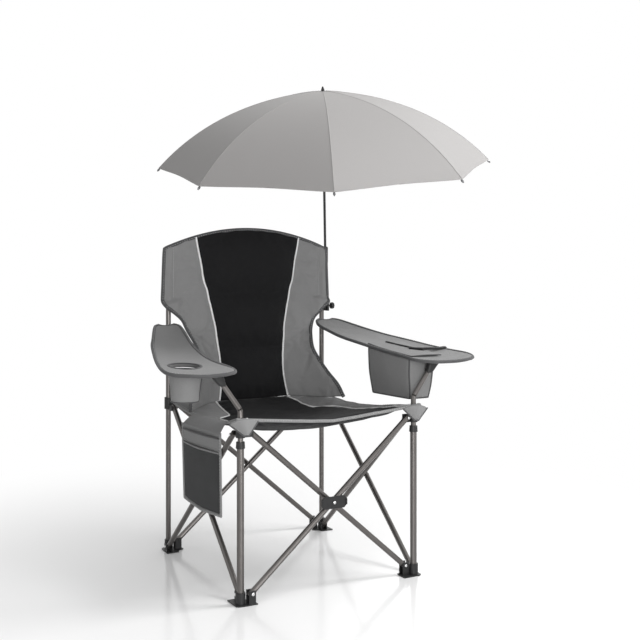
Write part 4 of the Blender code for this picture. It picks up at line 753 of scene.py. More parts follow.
def buildBack():
    front, rear = backGrid()
    wings = len(back["wing"]) - 1
    first, last = wings, wings + back["padColumns"]
    columns = len(front[0])
    panel = skin("back_panel", front, rear, [greyCloth, blackCloth, liningCloth],
                 lambda r, c: 1 if first <= c < last else 0, 2, 2)
    channelRows = [min(range(back["rows"]), key=lambda r: abs(r / (back["rows"] - 1) - s))
                   for s in back["channels"]]
    held = []
    for r in range(back["rows"]):
        share = r / (back["rows"] - 1)
        for c in range(columns):
            x = abs(front[r][c].x)
            seam = r in (0, back["rows"] - 1) or c in (0, first, last, columns - 1)
            channel = r in channelRows and first < c < last
            sleeved = share > back["sleeveStart"] - 0.03 and x > 0.258
            if seam or channel or sleeved:
                held.append(r * columns + c)
            held.append(back["rows"] * columns + r * columns + c)
    puffUp(panel, held, back["pressure"], back["mostSwell"])
    rounded(panel)
    pieces = [panel]
    for c, label in ((first, "left"), (last, "right")):
        line = [row[c] + Vector((0, -0.0020, 0)) for row in front]
        pieces.append(cord("back_piping_" + label, line, *sewn["backPiping"], whiteTape, forwards))
    middle = [[(a + b) / 2 for a, b in zip(f, r)] for f, r in zip(front, rear)]
    right, left = [row[-1] for row in middle], [row[0] for row in middle]
    path = right + middle[-1][::-1][1:-1] + left[::-1]
    facing = edgeNormals(middle, columns - 1, -1) + [Vector(forwards)] * (columns - 2)
    facing += edgeNormals(middle, 0, 1)[::-1]
    pieces.append(cord("back_binding", path, *sewn["backEdge"], darkTape, facing, sides=12))
    threads = [([p + f * 0.0052 for p, f in zip(path, facing)], forwards)]
    seamAt = postHalf - back["seamInset"]
    for sign in (-1, 1):
        line = []
        for r in range(back["rows"]):
            share = r / (back["rows"] - 1)
            if share > back["sleeveStart"] and r < back["rows"] - 1:
                row = front[r]
                near = min(row, key=lambda p: abs(p.x - sign * seamAt))
                line.append(Vector((sign * seamAt, near.y - 0.0006, near.z)))
        threads.append((line, forwards))
    pieces.append(stitches("back_stitches", threads, *sewn["wideThread"], paleThread))
    for i, r in enumerate(channelRows):
        line = [p + Vector((0, -0.0002, 0)) for p in front[r][first + 1:last]]
        name = f"back_channel_thread_{i + 1}"
        pieces.append(stitches(name, [(line, forwards)], *sewn["channelThread"], blackTape))
    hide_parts("back")
    return pieces


arm = {
    "rearHeight": 0.718, "slope": 0.16, "thickness": 0.011, "rear": postHalf - 0.0083, "front": 0.318,
    "reach": 0.494, "dish": 0.009, "slack": 0.005, "lift": 0.008, "crumple": 0.0012,
    "fineCrumple": 0.0007, "rows": 44, "columns": 18,
}
# how far forward, then inner and outer edge, for the left (-1) and the right (1) armrest
armOutline = {
    -1: [
        (0.00, 0.530, 0.640), (0.025, 0.510, 0.668), (0.12, 0.525, 0.716), (0.25, 0.558, 0.775),
        (0.38, 0.592, 0.835), (0.52, 0.618, 0.885), (0.66, 0.632, 0.930), (0.79, 0.628, 0.966),
        (0.88, 0.610, 0.985), (0.94, 0.600, 0.975), (0.98, 0.625, 0.930), (1.00, 0.670, 0.870),
    ],
    1: [
        (0.00, 0.530, 0.640), (0.025, 0.502, 0.670), (0.12, 0.456, 0.704), (0.25, 0.449, 0.742),
        (0.38, 0.452, 0.788), (0.52, 0.486, 0.860), (0.66, 0.518, 0.918), (0.79, 0.537, 0.966),
        (0.88, 0.549, 1.000), (0.94, 0.562, 0.992), (0.98, 0.600, 0.940), (1.00, 0.650, 0.880),
    ],
}


def armForward(y):
    return min(max((arm["rear"] - y) / (arm["rear"] + arm["front"]), 0), 1)


def armHeight(y):
    # the cloth sags a little along its length and lifts at its front end
    forward = armForward(y)
    slack = arm["slack"] * 4 * forward * (1 - forward) - arm["lift"] * smoothStep(0.62, 1.0, forward)
    return arm["rearHeight"] + arm["slope"] * (y - postHalf) - slack


def armShare(x, y):
    # how far across and how far forward a place lies on its armrest
    forward = armForward(y)
    innerX, outerX = readTable(armOutline[1 if x > 0 else -1], forward)
    return min(max((abs(x) / arm["reach"] - innerX) / (outerX - innerX), 0), 1), forward


def armDish(share, forward):
    # the cloth hangs lower between its edges, but its rear end is stiffened
    return arm["dish"] * (1 - (2 * share - 1) ** 2) * (1 - 0.75 * forward) * smoothStep(-0.06, 0.2, forward)


def armTop(x, y):
    share, forward = armShare(x, y)
    return armHeight(y) - armDish(share, forward)


def armUnder(x, y):
    share = armShare(x, y)[0]
    return armTop(x, y) - arm["thickness"] * (0.45 + 0.55 * math.sin(math.pi * share) ** 0.5)


def plain(name, points, faces, finish):
    # a piece with one finish and no cloth map
    return pieceFrom(name, points, faces, [[(0, 0)] * len(f) for f in faces], [0] * len(faces), [finish])


# from below the armrest to above it
opening = {"low": 0.56, "high": 0.76, "sides": 40}


def cutter(plan):
    sides = len(plan)
    points = [(x, y, z) for z in (opening["low"], opening["high"]) for x, y in plan]
    faces = [[k, (k + 1) % sides, sides + (k + 1) % sides, sides + k] for k in range(sides)]
    faces += [list(range(sides))[::-1], list(range(sides, 2 * sides))]
    return plain("tool", points, faces, blackCloth)


def cupMouth():
    radius, turns = cup["radius"] - cup["wall"], [tau * k / opening["sides"] for k in range(opening["sides"])]
    return cutter([(radius * math.cos(a) - cup["x"], cup["y"] + radius * math.sin(a)) for a in turns])


def bagMouth():
    inset = lid["margin"] + bag["wall"]
    rear, front = -bag["rear"] - inset, -bag["rear"] - bag["length"] + inset
    inner, outer = bag["inner"] + inset + lid["margin"], bag["inner"] + bag["width"] - inset
    plan = [(inner, front), (outer, front), (outer, rear), (inner, rear)]
    return cutter([(x + bagFlare(y), y) for x, y in plan])


def buildArmrest(sign, label, tool):
    top, under = [], []
    length = arm["rear"] + arm["front"]
    for r in range(arm["rows"]):
        forward = r / (arm["rows"] - 1)
        y = arm["rear"] - length * forward
        innerX, outerX = readTable(armOutline[sign], forward)
        topRow, underRow = [], []
        for c in range(arm["columns"]):
            share = c / (arm["columns"] - 1)
            x = arm["reach"] * (innerX + (outerX - innerX) * share)
            z = armHeight(y) - armDish(share, forward)
            middle = math.sin(math.pi * share)
            z += arm["crumple"] * middle * ripple((x, y, 0), 0.045, sign)
            z += arm["fineCrumple"] * middle * ripple((x * 2, y, 0), 0.02, 4)
            thick = arm["thickness"] * (0.42 + 0.55 * max(middle**0.5, smoothStep(0.86, 0.96, forward)))
            topRow.append(Vector((sign * x, y, z)))
            underRow.append(Vector((sign * x, y, z - thick)))
        top.append(topRow)
        under.append(underRow)
    pad = skin(label + "_armrest_pad", top, under, [greyCloth, liningCloth], None, 1, 0)
    cutAway(rounded(pad), tool)
    middle = [[(a + b) / 2 for a, b in zip(t, u)] for t, u in zip(top, under)]
    outline = [row[0] for row in middle] + middle[-1][1:-1] + [row[-1] for row in middle[::-1]]
    outline += middle[0][::-1][1:-1]
    outline = evenly(outline + outline[:1], 0.011)[:-1]
    binding = cord(label + "_armrest_binding", outline, *sewn["armEdge"], darkTape, upward, closed=True, sides=12)
    inset = []
    centre = sum(outline, Vector()) / len(outline)
    for p in outline + outline[:1]:
        toward = Vector((centre.x - p.x, (centre.y - p.y) * 0.3, 0)).normalized()
        inset.append(p + toward * 0.0022 + Vector((0, 0, 0.0046)))
    threads = stitches(label + "_armrest_stitches", [(inset, upward)], *sewn["wideThread"], paleThread)
    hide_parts(label + "_armrest")
    return [pad, binding, threads]


armSocket = {"lean": 0.8 * math.tan(math.radians(36)), "square": 0.6, "wall": 0.32, "sides": 24}


def buildArmBracket(sign, label):
    # the moulded socket that the arm tube's top plugs into; each ring is a height and two half widths
    low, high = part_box(label + "_arm_tube")
    reach = (high.x - home.x) if sign > 0 else (home.x - low.x)
    x, y, z = reach - 0.004, middleOf(label + "_arm_tube").y - home.y, high.z - 0.004
    plate = max(armUnder(sign * x, y) - z, 0.003)
    profile = ((-0.016, 0.0085, 0.0095), (-0.012, 0.0115, 0.012), (-0.002, 0.014, 0.0105),
               (plate - 0.003, 0.020, 0.0115), (plate + 0.001, 0.020, 0.0115))
    rings = []
    for k, (rise, wide, deep) in enumerate(profile):
        lean = rise * armSocket["lean"]
        ring = []
        for i in range(armSocket["sides"]):
            a = tau * i / armSocket["sides"]
            cx, sx = math.cos(a), math.sin(a)
            px = wide * math.copysign(abs(cx) ** armSocket["square"], cx)
            py = deep * math.copysign(abs(sx) ** armSocket["square"], sx)
            tilt = arm["slope"] * py if k > 2 else 0
            ring.append(Vector((sign * (x + lean + px), y + py, z + rise + tilt)))
        rings.append(ring)
    innerRings = [[p.lerp(sum(ring, Vector()) / len(ring), armSocket["wall"]) for p in ring] for ring in rings]
    return rounded(skin(label + "_arm_socket", rings, innerRings, [blackPlastic], round=True))


cup = {"x": 0.408, "y": -0.203, "radius": 0.045, "base": 0.037, "height": 0.088, "wall": 0.0025,
       "rim": 0.0435, "sides": 48, "rows": 16}


def cupBottom():
    return armHeight(cup["y"]) - arm["thickness"] - cup["height"]


def buildCup():
    outer, lining = [], []
    bottom = cupBottom()
    profile = [(0.0, -0.92), (0.0, -0.5), (0.0, -0.1)]
    for i in range(cup["rows"] + 1):
        profile.append((0.012 + 0.988 * i / cup["rows"], 0.02 + 0.98 * min(1, i / cup["rows"] * 1.25)))
    for height, spread in profile:
        radius = cup["base"] + (cup["radius"] - cup["base"]) * max(spread, 0)
        if spread < 0:
            radius = cup["base"] * (1 + spread) + 0.002
        outerRow, innerRow = [], []
        for k in range(cup["sides"]):
            a = tau * k / cup["sides"]
            loose = math.sin(math.pi * min(max(height, 0), 1))
            fold = 0.0011 * ripple((math.cos(a), math.sin(a), height * 0.5), 0.35) * loose
            sag = 0.0016 * loose**2
            r = radius + fold - sag
            x, y = cup["x"] + r * math.cos(a), cup["y"] + r * math.sin(a)
            rim = armUnder(-x, y) - 0.0008
            z = bottom + (rim - bottom) * height
            outerRow.append(Vector((-x, y, z)))
            w = cup["wall"] * 0.8
            inX, inY = cup["x"] + max(r - w, 0.001) * math.cos(a), cup["y"] + max(r - w, 0.001) * math.sin(a)
            lift = w if spread < 0.05 else 0
            innerRow.append(Vector((-inX, inY, z + lift)))
        outer.append(outerRow)
        lining.append(innerRow)
    pouch = rounded(skin("cup_pouch", outer, lining, [greyCloth, liningCloth], None, 1, 1, round=True))
    foot, turns = cup["base"] + 0.0006, [tau * k / 40 for k in range(40)]
    footRing = [(-cup["x"] - foot * math.cos(a), cup["y"] + foot * math.sin(a), bottom + 0.0022) for a in turns]
    seam = cord("cup_base_seam", footRing, *sewn["cupSeam"], darkTape, upward, closed=True)
    ring = []
    for k in range(44):
        a = tau * k / 44
        x, y = cup["x"] + cup["rim"] * math.cos(a), cup["y"] + cup["rim"] * math.sin(a)
        ring.append((-x, y, armTop(-x, y) + 0.0004))
    rim = cord("cup_rim_binding", ring, *sewn["cupRim"], darkTape, upward, closed=True)
    seamLine = []
    for i in range(12):
        h = i / 11
        r = cup["base"] + (cup["radius"] - cup["base"]) * min(1, h * 1.25) + 0.0004
        x, y = -cup["x"] + r * math.cos(math.radians(-20)), cup["y"] + r * math.sin(math.radians(-20))
        seamLine.append((x, y, bottom + (armUnder(x, y) - 0.002 - bottom) * h))
    side = cord("cup_side_seam", seamLine, *sewn["cupSide"], darkTape, forwards)
    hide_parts("cup_holder")
    sheetCut(pouch)
    sheetArea(pouch)
    return [pouch, seam, rim, side]


bag = {"inner": 0.250, "width": 0.088, "rear": 0.068, "length": 0.190, "bottom": 0.510, "wall": 0.003,
       "taper": 0.009, "flare": 0.14, "corner": 0.010, "rows": 18}


def bagFlare(y):
    # the bag leans outward toward the front, as the armrest does
    return bag["flare"] * (-bag["rear"] - y)


def bagRing(inset, share, drop):
    middleX, middleY = bag["inner"] + bag["width"] / 2, -bag["rear"] - bag["length"] / 2
    taper = bag["taper"] * (1 - share) ** 2
    halfX, halfY = bag["width"] / 2 - inset - taper, bag["length"] / 2 - inset - taper
    ring = []
    turn = bag["corner"]
    spots = []
    for cx, cy, start in ((1, 1, 0), (-1, 1, 90), (-1, -1, 180), (1, -1, 270)):
        for k in range(5):
            a = math.radians(start + 22.5 * k)
            spots.append((cx * (halfX - turn) + turn * math.cos(a), cy * (halfY - turn) + turn * math.sin(a)))
    full = []
    for (x1, y1), (x2, y2) in zip(spots, spots[1:] + spots[:1]):
        steps = 10 if math.hypot(x2 - x1, y2 - y1) > 0.02 else 1
        full += [(x1 + (x2 - x1) * i / steps, y1 + (y2 - y1) * i / steps) for i in range(steps)]
    for x, y in full:
        belly = math.sin(math.pi * min(share * 0.9 + 0.05, 1))
        flat = max(0.0, 1 - (min(abs(x) / halfX, 1) * min(abs(y) / halfY, 1)) ** 2 * 1.4)
        pushX = 0.0030 * belly * flat * (x / halfX) * (abs(x) > halfX * 0.9)
        pushY = 0.0022 * belly * flat * (y / halfY) * (abs(y) > halfY * 0.9)
        dent = 0.0018 * ripple((x, y, share * 0.12), 0.05, 6) * belly
        px = middleX + x + pushX + dent * (abs(x) > halfX * 0.9) * (1 if x > 0 else -1)
        py = middleY + y + pushY
        px += bagFlare(py)
        mouth = armUnder(px, py) - 0.0009
        low = bag["bottom"] + drop
        ring.append(Vector((px, py, low + (mouth - low) * share)))
    return ring


def buildBag():
    shares = [i / bag["rows"] for i in range(bag["rows"] + 1)]
    outer = [bagRing(0, s, 0) for s in shares]
    lining = [bagRing(bag["wall"], s, bag["wall"]) for s in shares]

    def closing(ring):
        centre = sum(ring, Vector()) / len(ring)
        rows = []
        for shrink in (0.04, 0.35, 0.7, 0.94):
            sink = Vector((0, 0, -0.0015 * math.sin(math.pi * shrink)))
            rows.append([p.lerp(Vector((centre.x, centre.y, p.z)), 1 - shrink) + sink for p in ring])
        return rows

    outer = closing(outer[0]) + outer
    lining = closing(lining[0]) + lining
    shell = rounded(skin("cooler_bag_shell", outer, lining, [greyCloth, silverMetal], None, 1, 0, round=True))
    pieces = [shell]
    base = [p + Vector((0, 0, 0.0012)) for p in outer[4]]
    pieces.append(cord("cooler_base_binding", base, *sewn["bagBase"], darkTape, upward, closed=True))
    ringSize = len(outer[4])
    centre = sum(base, Vector()) / ringSize
    for k in range(4):
        # the middle of each rounded corner: four spots a corner and ten a side
        line = [row[2 + 14 * k] for row in outer[4:]]
        out = (line[0] - centre).normalized()
        edge = [p + out * 0.0008 for p in line]
        pieces.append(cord(f"cooler_edge_binding_{k + 1}", edge, *sewn["bagEdge"], darkTape, out))
    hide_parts("cooler_bag")
    sheetCut(shell)
    sheetArea(shell)
    return pieces


lid = {
    "margin": 0.007, "width": 0.128, "thickness": 0.003, "pinch": 0.022, "rows": 22, "columns": 14,
    # each spot: across, along and how far above the armrest
    "zipSpots": [(0.320, -0.066, 0.0044), (0.333, -0.100, 0.0044), (0.350, -0.145, 0.0044),
                 (0.362, -0.178, 0.0044)],
    "strapSpots": [(0.340, -0.164, 0.0050), (0.365, -0.188, 0.0064), (0.400, -0.188, 0.0058),
                   (0.436, -0.178, 0.0030), (0.470, -0.168, 0.0026)],
    "pullSpots": [(0.356, -0.176, 0.0066), (0.364, -0.192, 0.0066), (0.370, -0.205, 0.0066)],
}


def lidPlace(x, y, lift=0.0):
    return Vector((x, y, armHeight(y) + 0.0006 + lift))


def buildLid():
    rearY, frontY = -bag["rear"] + lid["margin"], -bag["rear"] - bag["length"] - lid["margin"]
    innerX, outerX = bag["inner"] + lid["margin"], bag["inner"] + lid["margin"] + lid["width"]
    top, under = [], []
    last = lid["columns"] - 1
    for r in range(lid["rows"]):
        share = r / (lid["rows"] - 1)
        y = rearY + (frontY - rearY) * share
        left = innerX + lid["pinch"] * share
        topRow, underRow = [], []
        for c in range(last + 1):
            x = left + (outerX - left) * c / last
            crown = lid["thickness"] * (0.75 + 0.55 * math.sin(math.pi * c / last))
            crown += 0.0007 * ripple((x, y, 0), 0.03, 8) * math.sin(math.pi * c / last)
            topRow.append(lidPlace(x, y, crown))
            underRow.append(lidPlace(x, y))
        top.append(topRow)
        under.append(underRow)
    flap = rounded(skin("cooler_lid_flap", top, under, [greyCloth, silverMetal], None, 1, 0))
    edge = [p + Vector((0, 0, -0.0012)) for p in [row[0] for row in top] + top[-1][1:]]
    edging = cord("cooler_lid_edging", edge, *sewn["lidEdge"], darkTape, upward)
    zipPath = evenly([lidPlace(*spot) for spot in lid["zipSpots"]], 0.006)
    zipLine = cord("cooler_lid_zip", zipPath, *sewn["zip"], blackTape, upward, sides=12)
    strapPath = evenly([lidPlace(*spot) for spot in lid["strapSpots"]], 0.006)
    strap = cord("cooler_lid_strap", strapPath, *sewn["strap"], blackTape, upward, sides=12)
    pullPath = evenly([lidPlace(*spot) for spot in lid["pullSpots"]], 0.003)
    pull = cord("cooler_zip_pull", pullPath, *sewn["pull"], blackPlastic, upward)
    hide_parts("cooler_lid")
    return [flap, edging, zipLine, strap, pull]


pocket = {"face": -postHalf - 0.0092 - 0.008 - 0.0006, "cloth": 0.0014, "rows": 30,
          "columns": 22, "hangRows": 9}
pocketTop, pocketLow = [(0.098, 0.433), (-0.188, 0.447)], [(0.083, 0.212), (-0.045, 0.206), (-0.195, 0.220)]


def pocketPlace(across, down, lift):
    # across runs from the rear edge to the front one, down from the top to the hem
    topY = pocketTop[0][0] + (pocketTop[1][0] - pocketTop[0][0]) * across
    topZ = pocketTop[0][1] + (pocketTop[1][1] - pocketTop[0][1]) * across
    if across < 0.5:
        a, b, t = pocketLow[0], pocketLow[1], across * 2
    else:
        a, b, t = pocketLow[1], pocketLow[2], across * 2 - 1
    lowY, lowZ = a[0] + (b[0] - a[0]) * t, a[1] + (b[1] - a[1]) * t
    return Vector((pocket["face"] - lift, topY + (lowY - topY) * down, topZ + (lowZ - topZ) * down))


def pocketPanel(name, start, end, belly, cloth):
    outer, innerSide = [], []
    for r in range(pocket["rows"]):
        down = start + (end - start) * r / (pocket["rows"] - 1)
        outerRow, innerRow = [], []
        for c in range(pocket["columns"]):
            across = c / (pocket["columns"] - 1)
            rise = math.sin(math.pi * across) ** 0.6 if 0 < across < 1 else 0.0
            mouth = smoothStep(1.0, 0.25, (down - start) / (end - start)) * 0.6 + 0.4
            hem = smoothStep(1.0, 0.9, (down - start) / (end - start)) if belly else 1.0
            lift = 0.0022 + belly * rise * mouth * hem
            waves = 0.0014 * ripple((0, across * 0.3, down * 0.24), 0.06, belly * 50) + 0.0004
            lift += waves * rise * (1 if belly else 0.6)
            outerRow.append(pocketPlace(across, down, lift))
            innerRow.append(pocketPlace(across, down, lift - pocket["cloth"]))
        outer.append(outerRow)
        innerSide.append(innerRow)
    return outer, rounded(skin(name, outer, innerSide, [cloth]))


def buildPocket():
    backRows, panel = pocketPanel("side_pocket_back", 0.0, 1.0, 0.0, greyCloth)
    netRows, net = pocketPanel("side_pocket_net", 0.25, 0.985, 0.0080, meshCloth)
    bandRows, band = pocketPanel("side_pocket_band", 0.075, 0.225, 0.0060, greyCloth)
    pieces = [panel, net, band]
    out = Vector((-1, 0, 0))
    outline = [row[0] for row in backRows] + backRows[-1][1:-1] + [row[-1] for row in backRows[::-1]]
    line = [p + out * 0.0006 for p in outline]
    pieces.append(cord("side_pocket_binding", line, *sewn["pocketEdge"], lightTape, out, sides=12))
    threads = [([p + out * 0.0038 for p in outline], out)]
    hems = (("net_hem", netRows[0], lightTape), ("band_top", bandRows[0], darkTape),
            ("band_foot", bandRows[-1], lightTape))
    for name, row, tape in hems:
        line = [p + out * 0.0006 for p in row]
        pieces.append(cord("side_pocket_" + name, line, *sewn["pocketHem"], tape, out))
    pieces.append(stitches("side_pocket_stitches", threads, *sewn["thread"], paleThread))
    # cloth from the seat's edge over the side tubes to the pocket
    hang, under = [], []
    for r in range(pocket["hangRows"]):
        share = r / (pocket["hangRows"] - 1)
        row = []
        for c in range(pocket["columns"]):
            across = c / (pocket["columns"] - 1)
            foot = pocketPlace(across, 0.004, 0.0022)
            depth = 2 * postHalf - seat["rearInset"] + seat["cornerOut"] / 2
            forward = (postHalf - seat["rearInset"] - foot.y) / depth
            edge = seatEdge(forward)[0]
            head = Vector((-edge - 0.002, foot.y, seatTop(edge, foot.y) - 0.005))
            place = head.lerp(foot, share)
            place.z += 0.006 * math.sin(math.pi * share) * (0.6 + 0.4 * ripple((0, across, 0), 0.2))
            row.append(place)
        hang.append(row)
        under.append([p - Vector((0, 0, pocket["cloth"])) for p in row])
    hanger = rounded(skin("side_pocket_hanger", hang, under, [greyCloth]))
    pieces.append(hanger)
    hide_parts("side_pocket")
    for piece in (panel, net, band, hanger):
        sheetCut(piece)
        sheetArea(piece)
    return pieces


shade = {"ribs": 8, "lean": 13.35, "azimuth": -122.9, "ribAzimuth": -116.2, "pin": (0.0243, 0.0176, 0.955),
         "shaft": 0.541, "below": 0.012, "hinge": 0.0123, "radius": 0.750, "arc": 46.5, "clearance": 0.0026,
         "tension": 1.04, "hem": 0.004, "peak": 0.016, "cloth": 0.0012, "rows": 26, "columns": 8}


def shadeMatrix():
    azimuth = math.radians(shade["azimuth"])
    turn = math.radians(shade["ribAzimuth"]) - azimuth
    lean = Matrix.Rotation(math.radians(shade["lean"]), 4, "Y")
    rotation = Matrix.Rotation(azimuth, 4, "Z") @ lean @ Matrix.Rotation(turn, 4, "Z")
    pin = shade["pin"]
    return Matrix.Translation((postHalf + pin[0], postHalf + pin[1], pin[2])) @ rotation


def shadePlace(turn, share, lift):
    # the cloth is stretched nearly flat from rib to rib
    sector = tau / shade["ribs"]
    aside = abs((turn / sector + 0.5) % 1 - 0.5) * sector
    flat = math.cos(sector / 2) / math.cos(sector / 2 - aside)
    inward = 1 - shade["tension"] * (1 - flat)
    between = math.sin(math.pi * aside / sector)
    arc = math.radians(shade["arc"]) * share - shade["hem"] / shade["radius"] * between**2 * share**6
    reach = shade["radius"] + shade["clearance"] + lift
    radius = (shade["hinge"] + reach * math.sin(arc)) * inward
    height = shade["shaft"] - shade["below"] - shade["radius"] + reach * math.cos(arc)
    height += shade["peak"] * (1 - share) ** 4 * 0.75 - shade["clearance"] * (1 - share) ** 2
    return shadeMatrix() @ Vector((radius * math.cos(turn), radius * math.sin(turn), height))


def shadeNormal(turn, share):
    step = 0.002
    along = shadePlace(turn, min(share + step, 1), 0) - shadePlace(turn, max(share - step, 0.004), 0)
    across = shadePlace(turn + step, share, 0) - shadePlace(turn - step, share, 0)
    normal = along.cross(across).normalized()
    return normal if normal.z > 0 else -normal


def shadeShading(cloth, turns, shares):
    # one smooth surface from panel half to panel half, with a crease along the rib
    total, columns = len(turns) * len(shares), len(turns)
    crease = columns // 2
    found = [None] * len(cloth.data.loops)
    for face in cloth.data.polygons:
        cells = [v % total for v in face.vertices]
        onRim = len({v < total for v in face.vertices}) == 2
        away = sum(c % columns for c in cells) / 4 - crease
        for loop in face.loop_indices:
            vertex = cloth.data.loops[loop].vertex_index
            row, column = divmod(vertex % total, columns)
            turn = turns[column]
            if column == crease:
                turn += math.copysign(0.004, away) * (1 if turns[-1] > turns[0] else -1)
            normal = shadeNormal(turn, shares[row])
            found[loop] = face.normal.copy() if onRim else normal if vertex < total else -normal
    cloth.data.normals_split_custom_set(found)


def buildShade():
    pieces = []
    for k in range(shade["ribs"]):
        middle = tau * k / shade["ribs"]
        step = tau / shade["ribs"] / (2 * shade["columns"])
        turns = [middle + step * c for c in range(-shade["columns"], shade["columns"] + 1)]
        shares = [0.006 + 0.994 * (r / (shade["rows"] - 1)) for r in range(shade["rows"])]
        over = [[shadePlace(t, s, shade["cloth"]) for t in turns] for s in shares]
        under = [[shadePlace(t, s, 0.0) for t in turns] for s in shares]
        cloth = skin(f"canopy_cloth_{k + 1}", over, under, [shadeCloth, shadeUnder], None, 1, 0)
        shadeShading(cloth, turns, shares)
        seamLine = [shadePlace(middle, s, shade["cloth"] + 0.0001) for s in shares]
        end = len(seamLine) - 1
        outward = [seamLine[min(i + 1, end)] - seamLine[max(i - 1, 0)] for i in range(end + 1)]
        axis = shadeMatrix().to_3x3() @ Vector((-math.sin(middle), math.cos(middle), 0))
        facing = [d.cross(axis).normalized() * -1 for d in outward]
        facing = [f if f.z > 0 else -f for f in facing]
        seam = cord(f"canopy_seam_{k + 1}", seamLine, *sewn["shadeSeam"], shadeCloth, facing)
        hemLine = [shadePlace(t, 1.0, shade["cloth"] / 2) for t in turns]
        hem = cord(f"canopy_hem_{k + 1}", hemLine, *sewn["shadeHem"], shadeCloth, upward)
        sheetCut(cloth)
        sheetArea(cloth)
        pieces.append((cloth, seam, hem, middle))
    return pieces


joint = {"inset": 0.028, "tube": 0.008, "offset": 0.0092, "gap": 0.0003, "cheek": 0.0022, "head": 0.0016,
         "lowX": 0.030, "lowY": 0.019, "rise": 0.434, "radius": 0.0046, "dome": 0.0014, "sides": 14}


def rivet(place, along):
    along = Vector(along).normalized()
    guide = Vector((0, 0, 1)) if abs(along.z) < 0.9 else Vector((1, 0, 0))
    side = guide.cross(along).normalized()
    up = along.cross(side)
    rows = []
    for distance, share in ((0.0, 1.0), (0.5, 0.96), (0.85, 0.72), (1.0, 0.36), (0.82, 0.22), (0.8, 0.02)):
        centre, reach = Vector(place) + along * (joint["dome"] * distance), joint["radius"] * share
        turns = [tau * k / joint["sides"] for k in range(joint["sides"])]
        rows.append([centre + side * (reach * math.cos(a)) + up * (reach * math.sin(a)) for a in turns])
    return rows


def rivetPiece(name, spots, body):
    points, faces = [], []
    sides = joint["sides"]
    for place, along in spots:
        rows = rivet(place, along)
        start = len(points)
        points += [p for row in rows for p in row]
        for r in range(len(rows) - 1):
            low, high = start + r * sides, start + (r + 1) * sides
            for k in range(sides):
                m = (k + 1) % sides
                faces.append([low + k, low + m, high + m, high + k])
        faces.append([start + k for k in range(sides)][::-1])
        faces.append([start + (len(rows) - 1) * sides + k for k in range(sides)])
    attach(plain(name, points, faces, rivetMetal), body)


def buildRivets():
    # each corner: which way it lies, then the bodies of its foot and of its bracket
    corners = (
        ("front_left", -1, -1, "front_left", "front_left_arm"),
        ("front_right", 1, -1, "front_right", "front_right_arm"),
        ("rear_left", -1, 1, "root", "rear_left_slider"),
        ("rear_right", 1, 1, "rear_right", "rear_right_slider"),
    )
    for name, sx, sy, footBody, topBody in corners:
        turn = sx * sy
        outer = joint["offset"] + joint["tube"] + joint["gap"]
        # feet: heads stand on the outer cheek of each pair
        spots = []
        for alongX, side, z in ((True, -turn, joint["lowX"]), (False, turn, joint["lowY"])):
            across = side * joint["offset"] - joint["tube"] - joint["gap"] - joint["cheek"] - joint["head"]
            inset, depth = (joint["inset"], across) if alongX else (across, joint["inset"])
            place = (sx * (postHalf - inset), sy * (postHalf - depth), z)
            spots.append((place, (0, sy, 0) if alongX else (sx, 0, 0)))
        rivetPiece("rivets_" + name + "_foot", spots, footBody)
        spots = []
        for alongX, side, z in ((True, turn, joint["lowX"]), (False, -turn, joint["lowY"])):
            across = side * (outer + joint["head"])
            inset, depth = (joint["inset"], across) if alongX else (across, joint["inset"])
            place = (sx * (postHalf - inset), sy * (postHalf - depth), z + joint["rise"])
            direction = (0, -sy * side, 0) if alongX else (-sx * side, 0, 0)
            spots.append((place, direction))
        rivetPiece("rivets_" + name + "_bracket", spots, topBody)
    reach = postHalf + joint["offset"] + joint["tube"] - 0.0004
    middleX, middleY = joint["lowX"] + joint["rise"] / 2, joint["lowY"] + joint["rise"] / 2
    # the front crossing has the hub bracket over it
    hub = reach + 0.0004 + joint["gap"] + 0.003 + joint["head"]
    rivetPiece("rivet_hub", [((0, -hub, middleX), (0, -1, 0))], "front_tube_a")
    rivetPiece("rivet_rear", [((0, reach, middleX), (0, 1, 0))], "rear_tube_b")
    rivetPiece("rivet_left", [((-reach, 0, middleY), (-1, 0, 0))], "left_tube_a")
    rivetPiece("rivet_right", [((reach, 0, middleY), (1, 0, 0))], "right_tube_b")


seatPieces = buildSeat()
print("seat made")
backPieces = buildBack()
print("back made")
leftArm = buildArmrest(-1, "left", cupMouth())
rightArm = buildArmrest(1, "right", bagMouth())
cupPieces, bagPieces = buildCup(), buildBag()
lidPieces = buildLid()
print("armrests, pouch and cooler made")
pocketPieces = buildPocket()
cornerPieces = {"left": buildCorner(-1, "left"), "right": buildCorner(1, "right")}
shadePieces = buildShade()
print("pocket, corners and sunshade made")


def settle(pieces, body, axis=None):
    for piece in pieces:
        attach(piece, body)
        if axis:
            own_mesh(piece)


settle(seatPieces + backPieces, "root", (1, 0, 0))
settle(pocketPieces, "root", (0, 1, 0))
settle(leftArm, "front_left_arm", (0, 1, 0))
settle(rightArm, "front_right_arm", (0, 1, 0))
settle(cupPieces, "front_left_arm", (0, 1, 0))
settle([buildArmBracket(-1, "left")], "front_left_arm")
settle(bagPieces, "front_right_arm", (0, 1, 0))
settle([buildArmBracket(1, "right")], "front_right_arm")
settle(lidPieces, "lid", (0, 1, 0))
for label, pieces in cornerPieces.items():
    settle(pieces, "front_" + label + "_arm")
for index, (cloth, seam, hem, middle) in enumerate(shadePieces):
    start = home + shadePlace(middle, 0.02, 0)
    end = home + shadePlace(middle, 0.16, 0)
    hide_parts("canopy")
    for piece in (cloth, seam, hem):
        f"rib_{index + 1}"
        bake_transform(piece)
buildRivets()


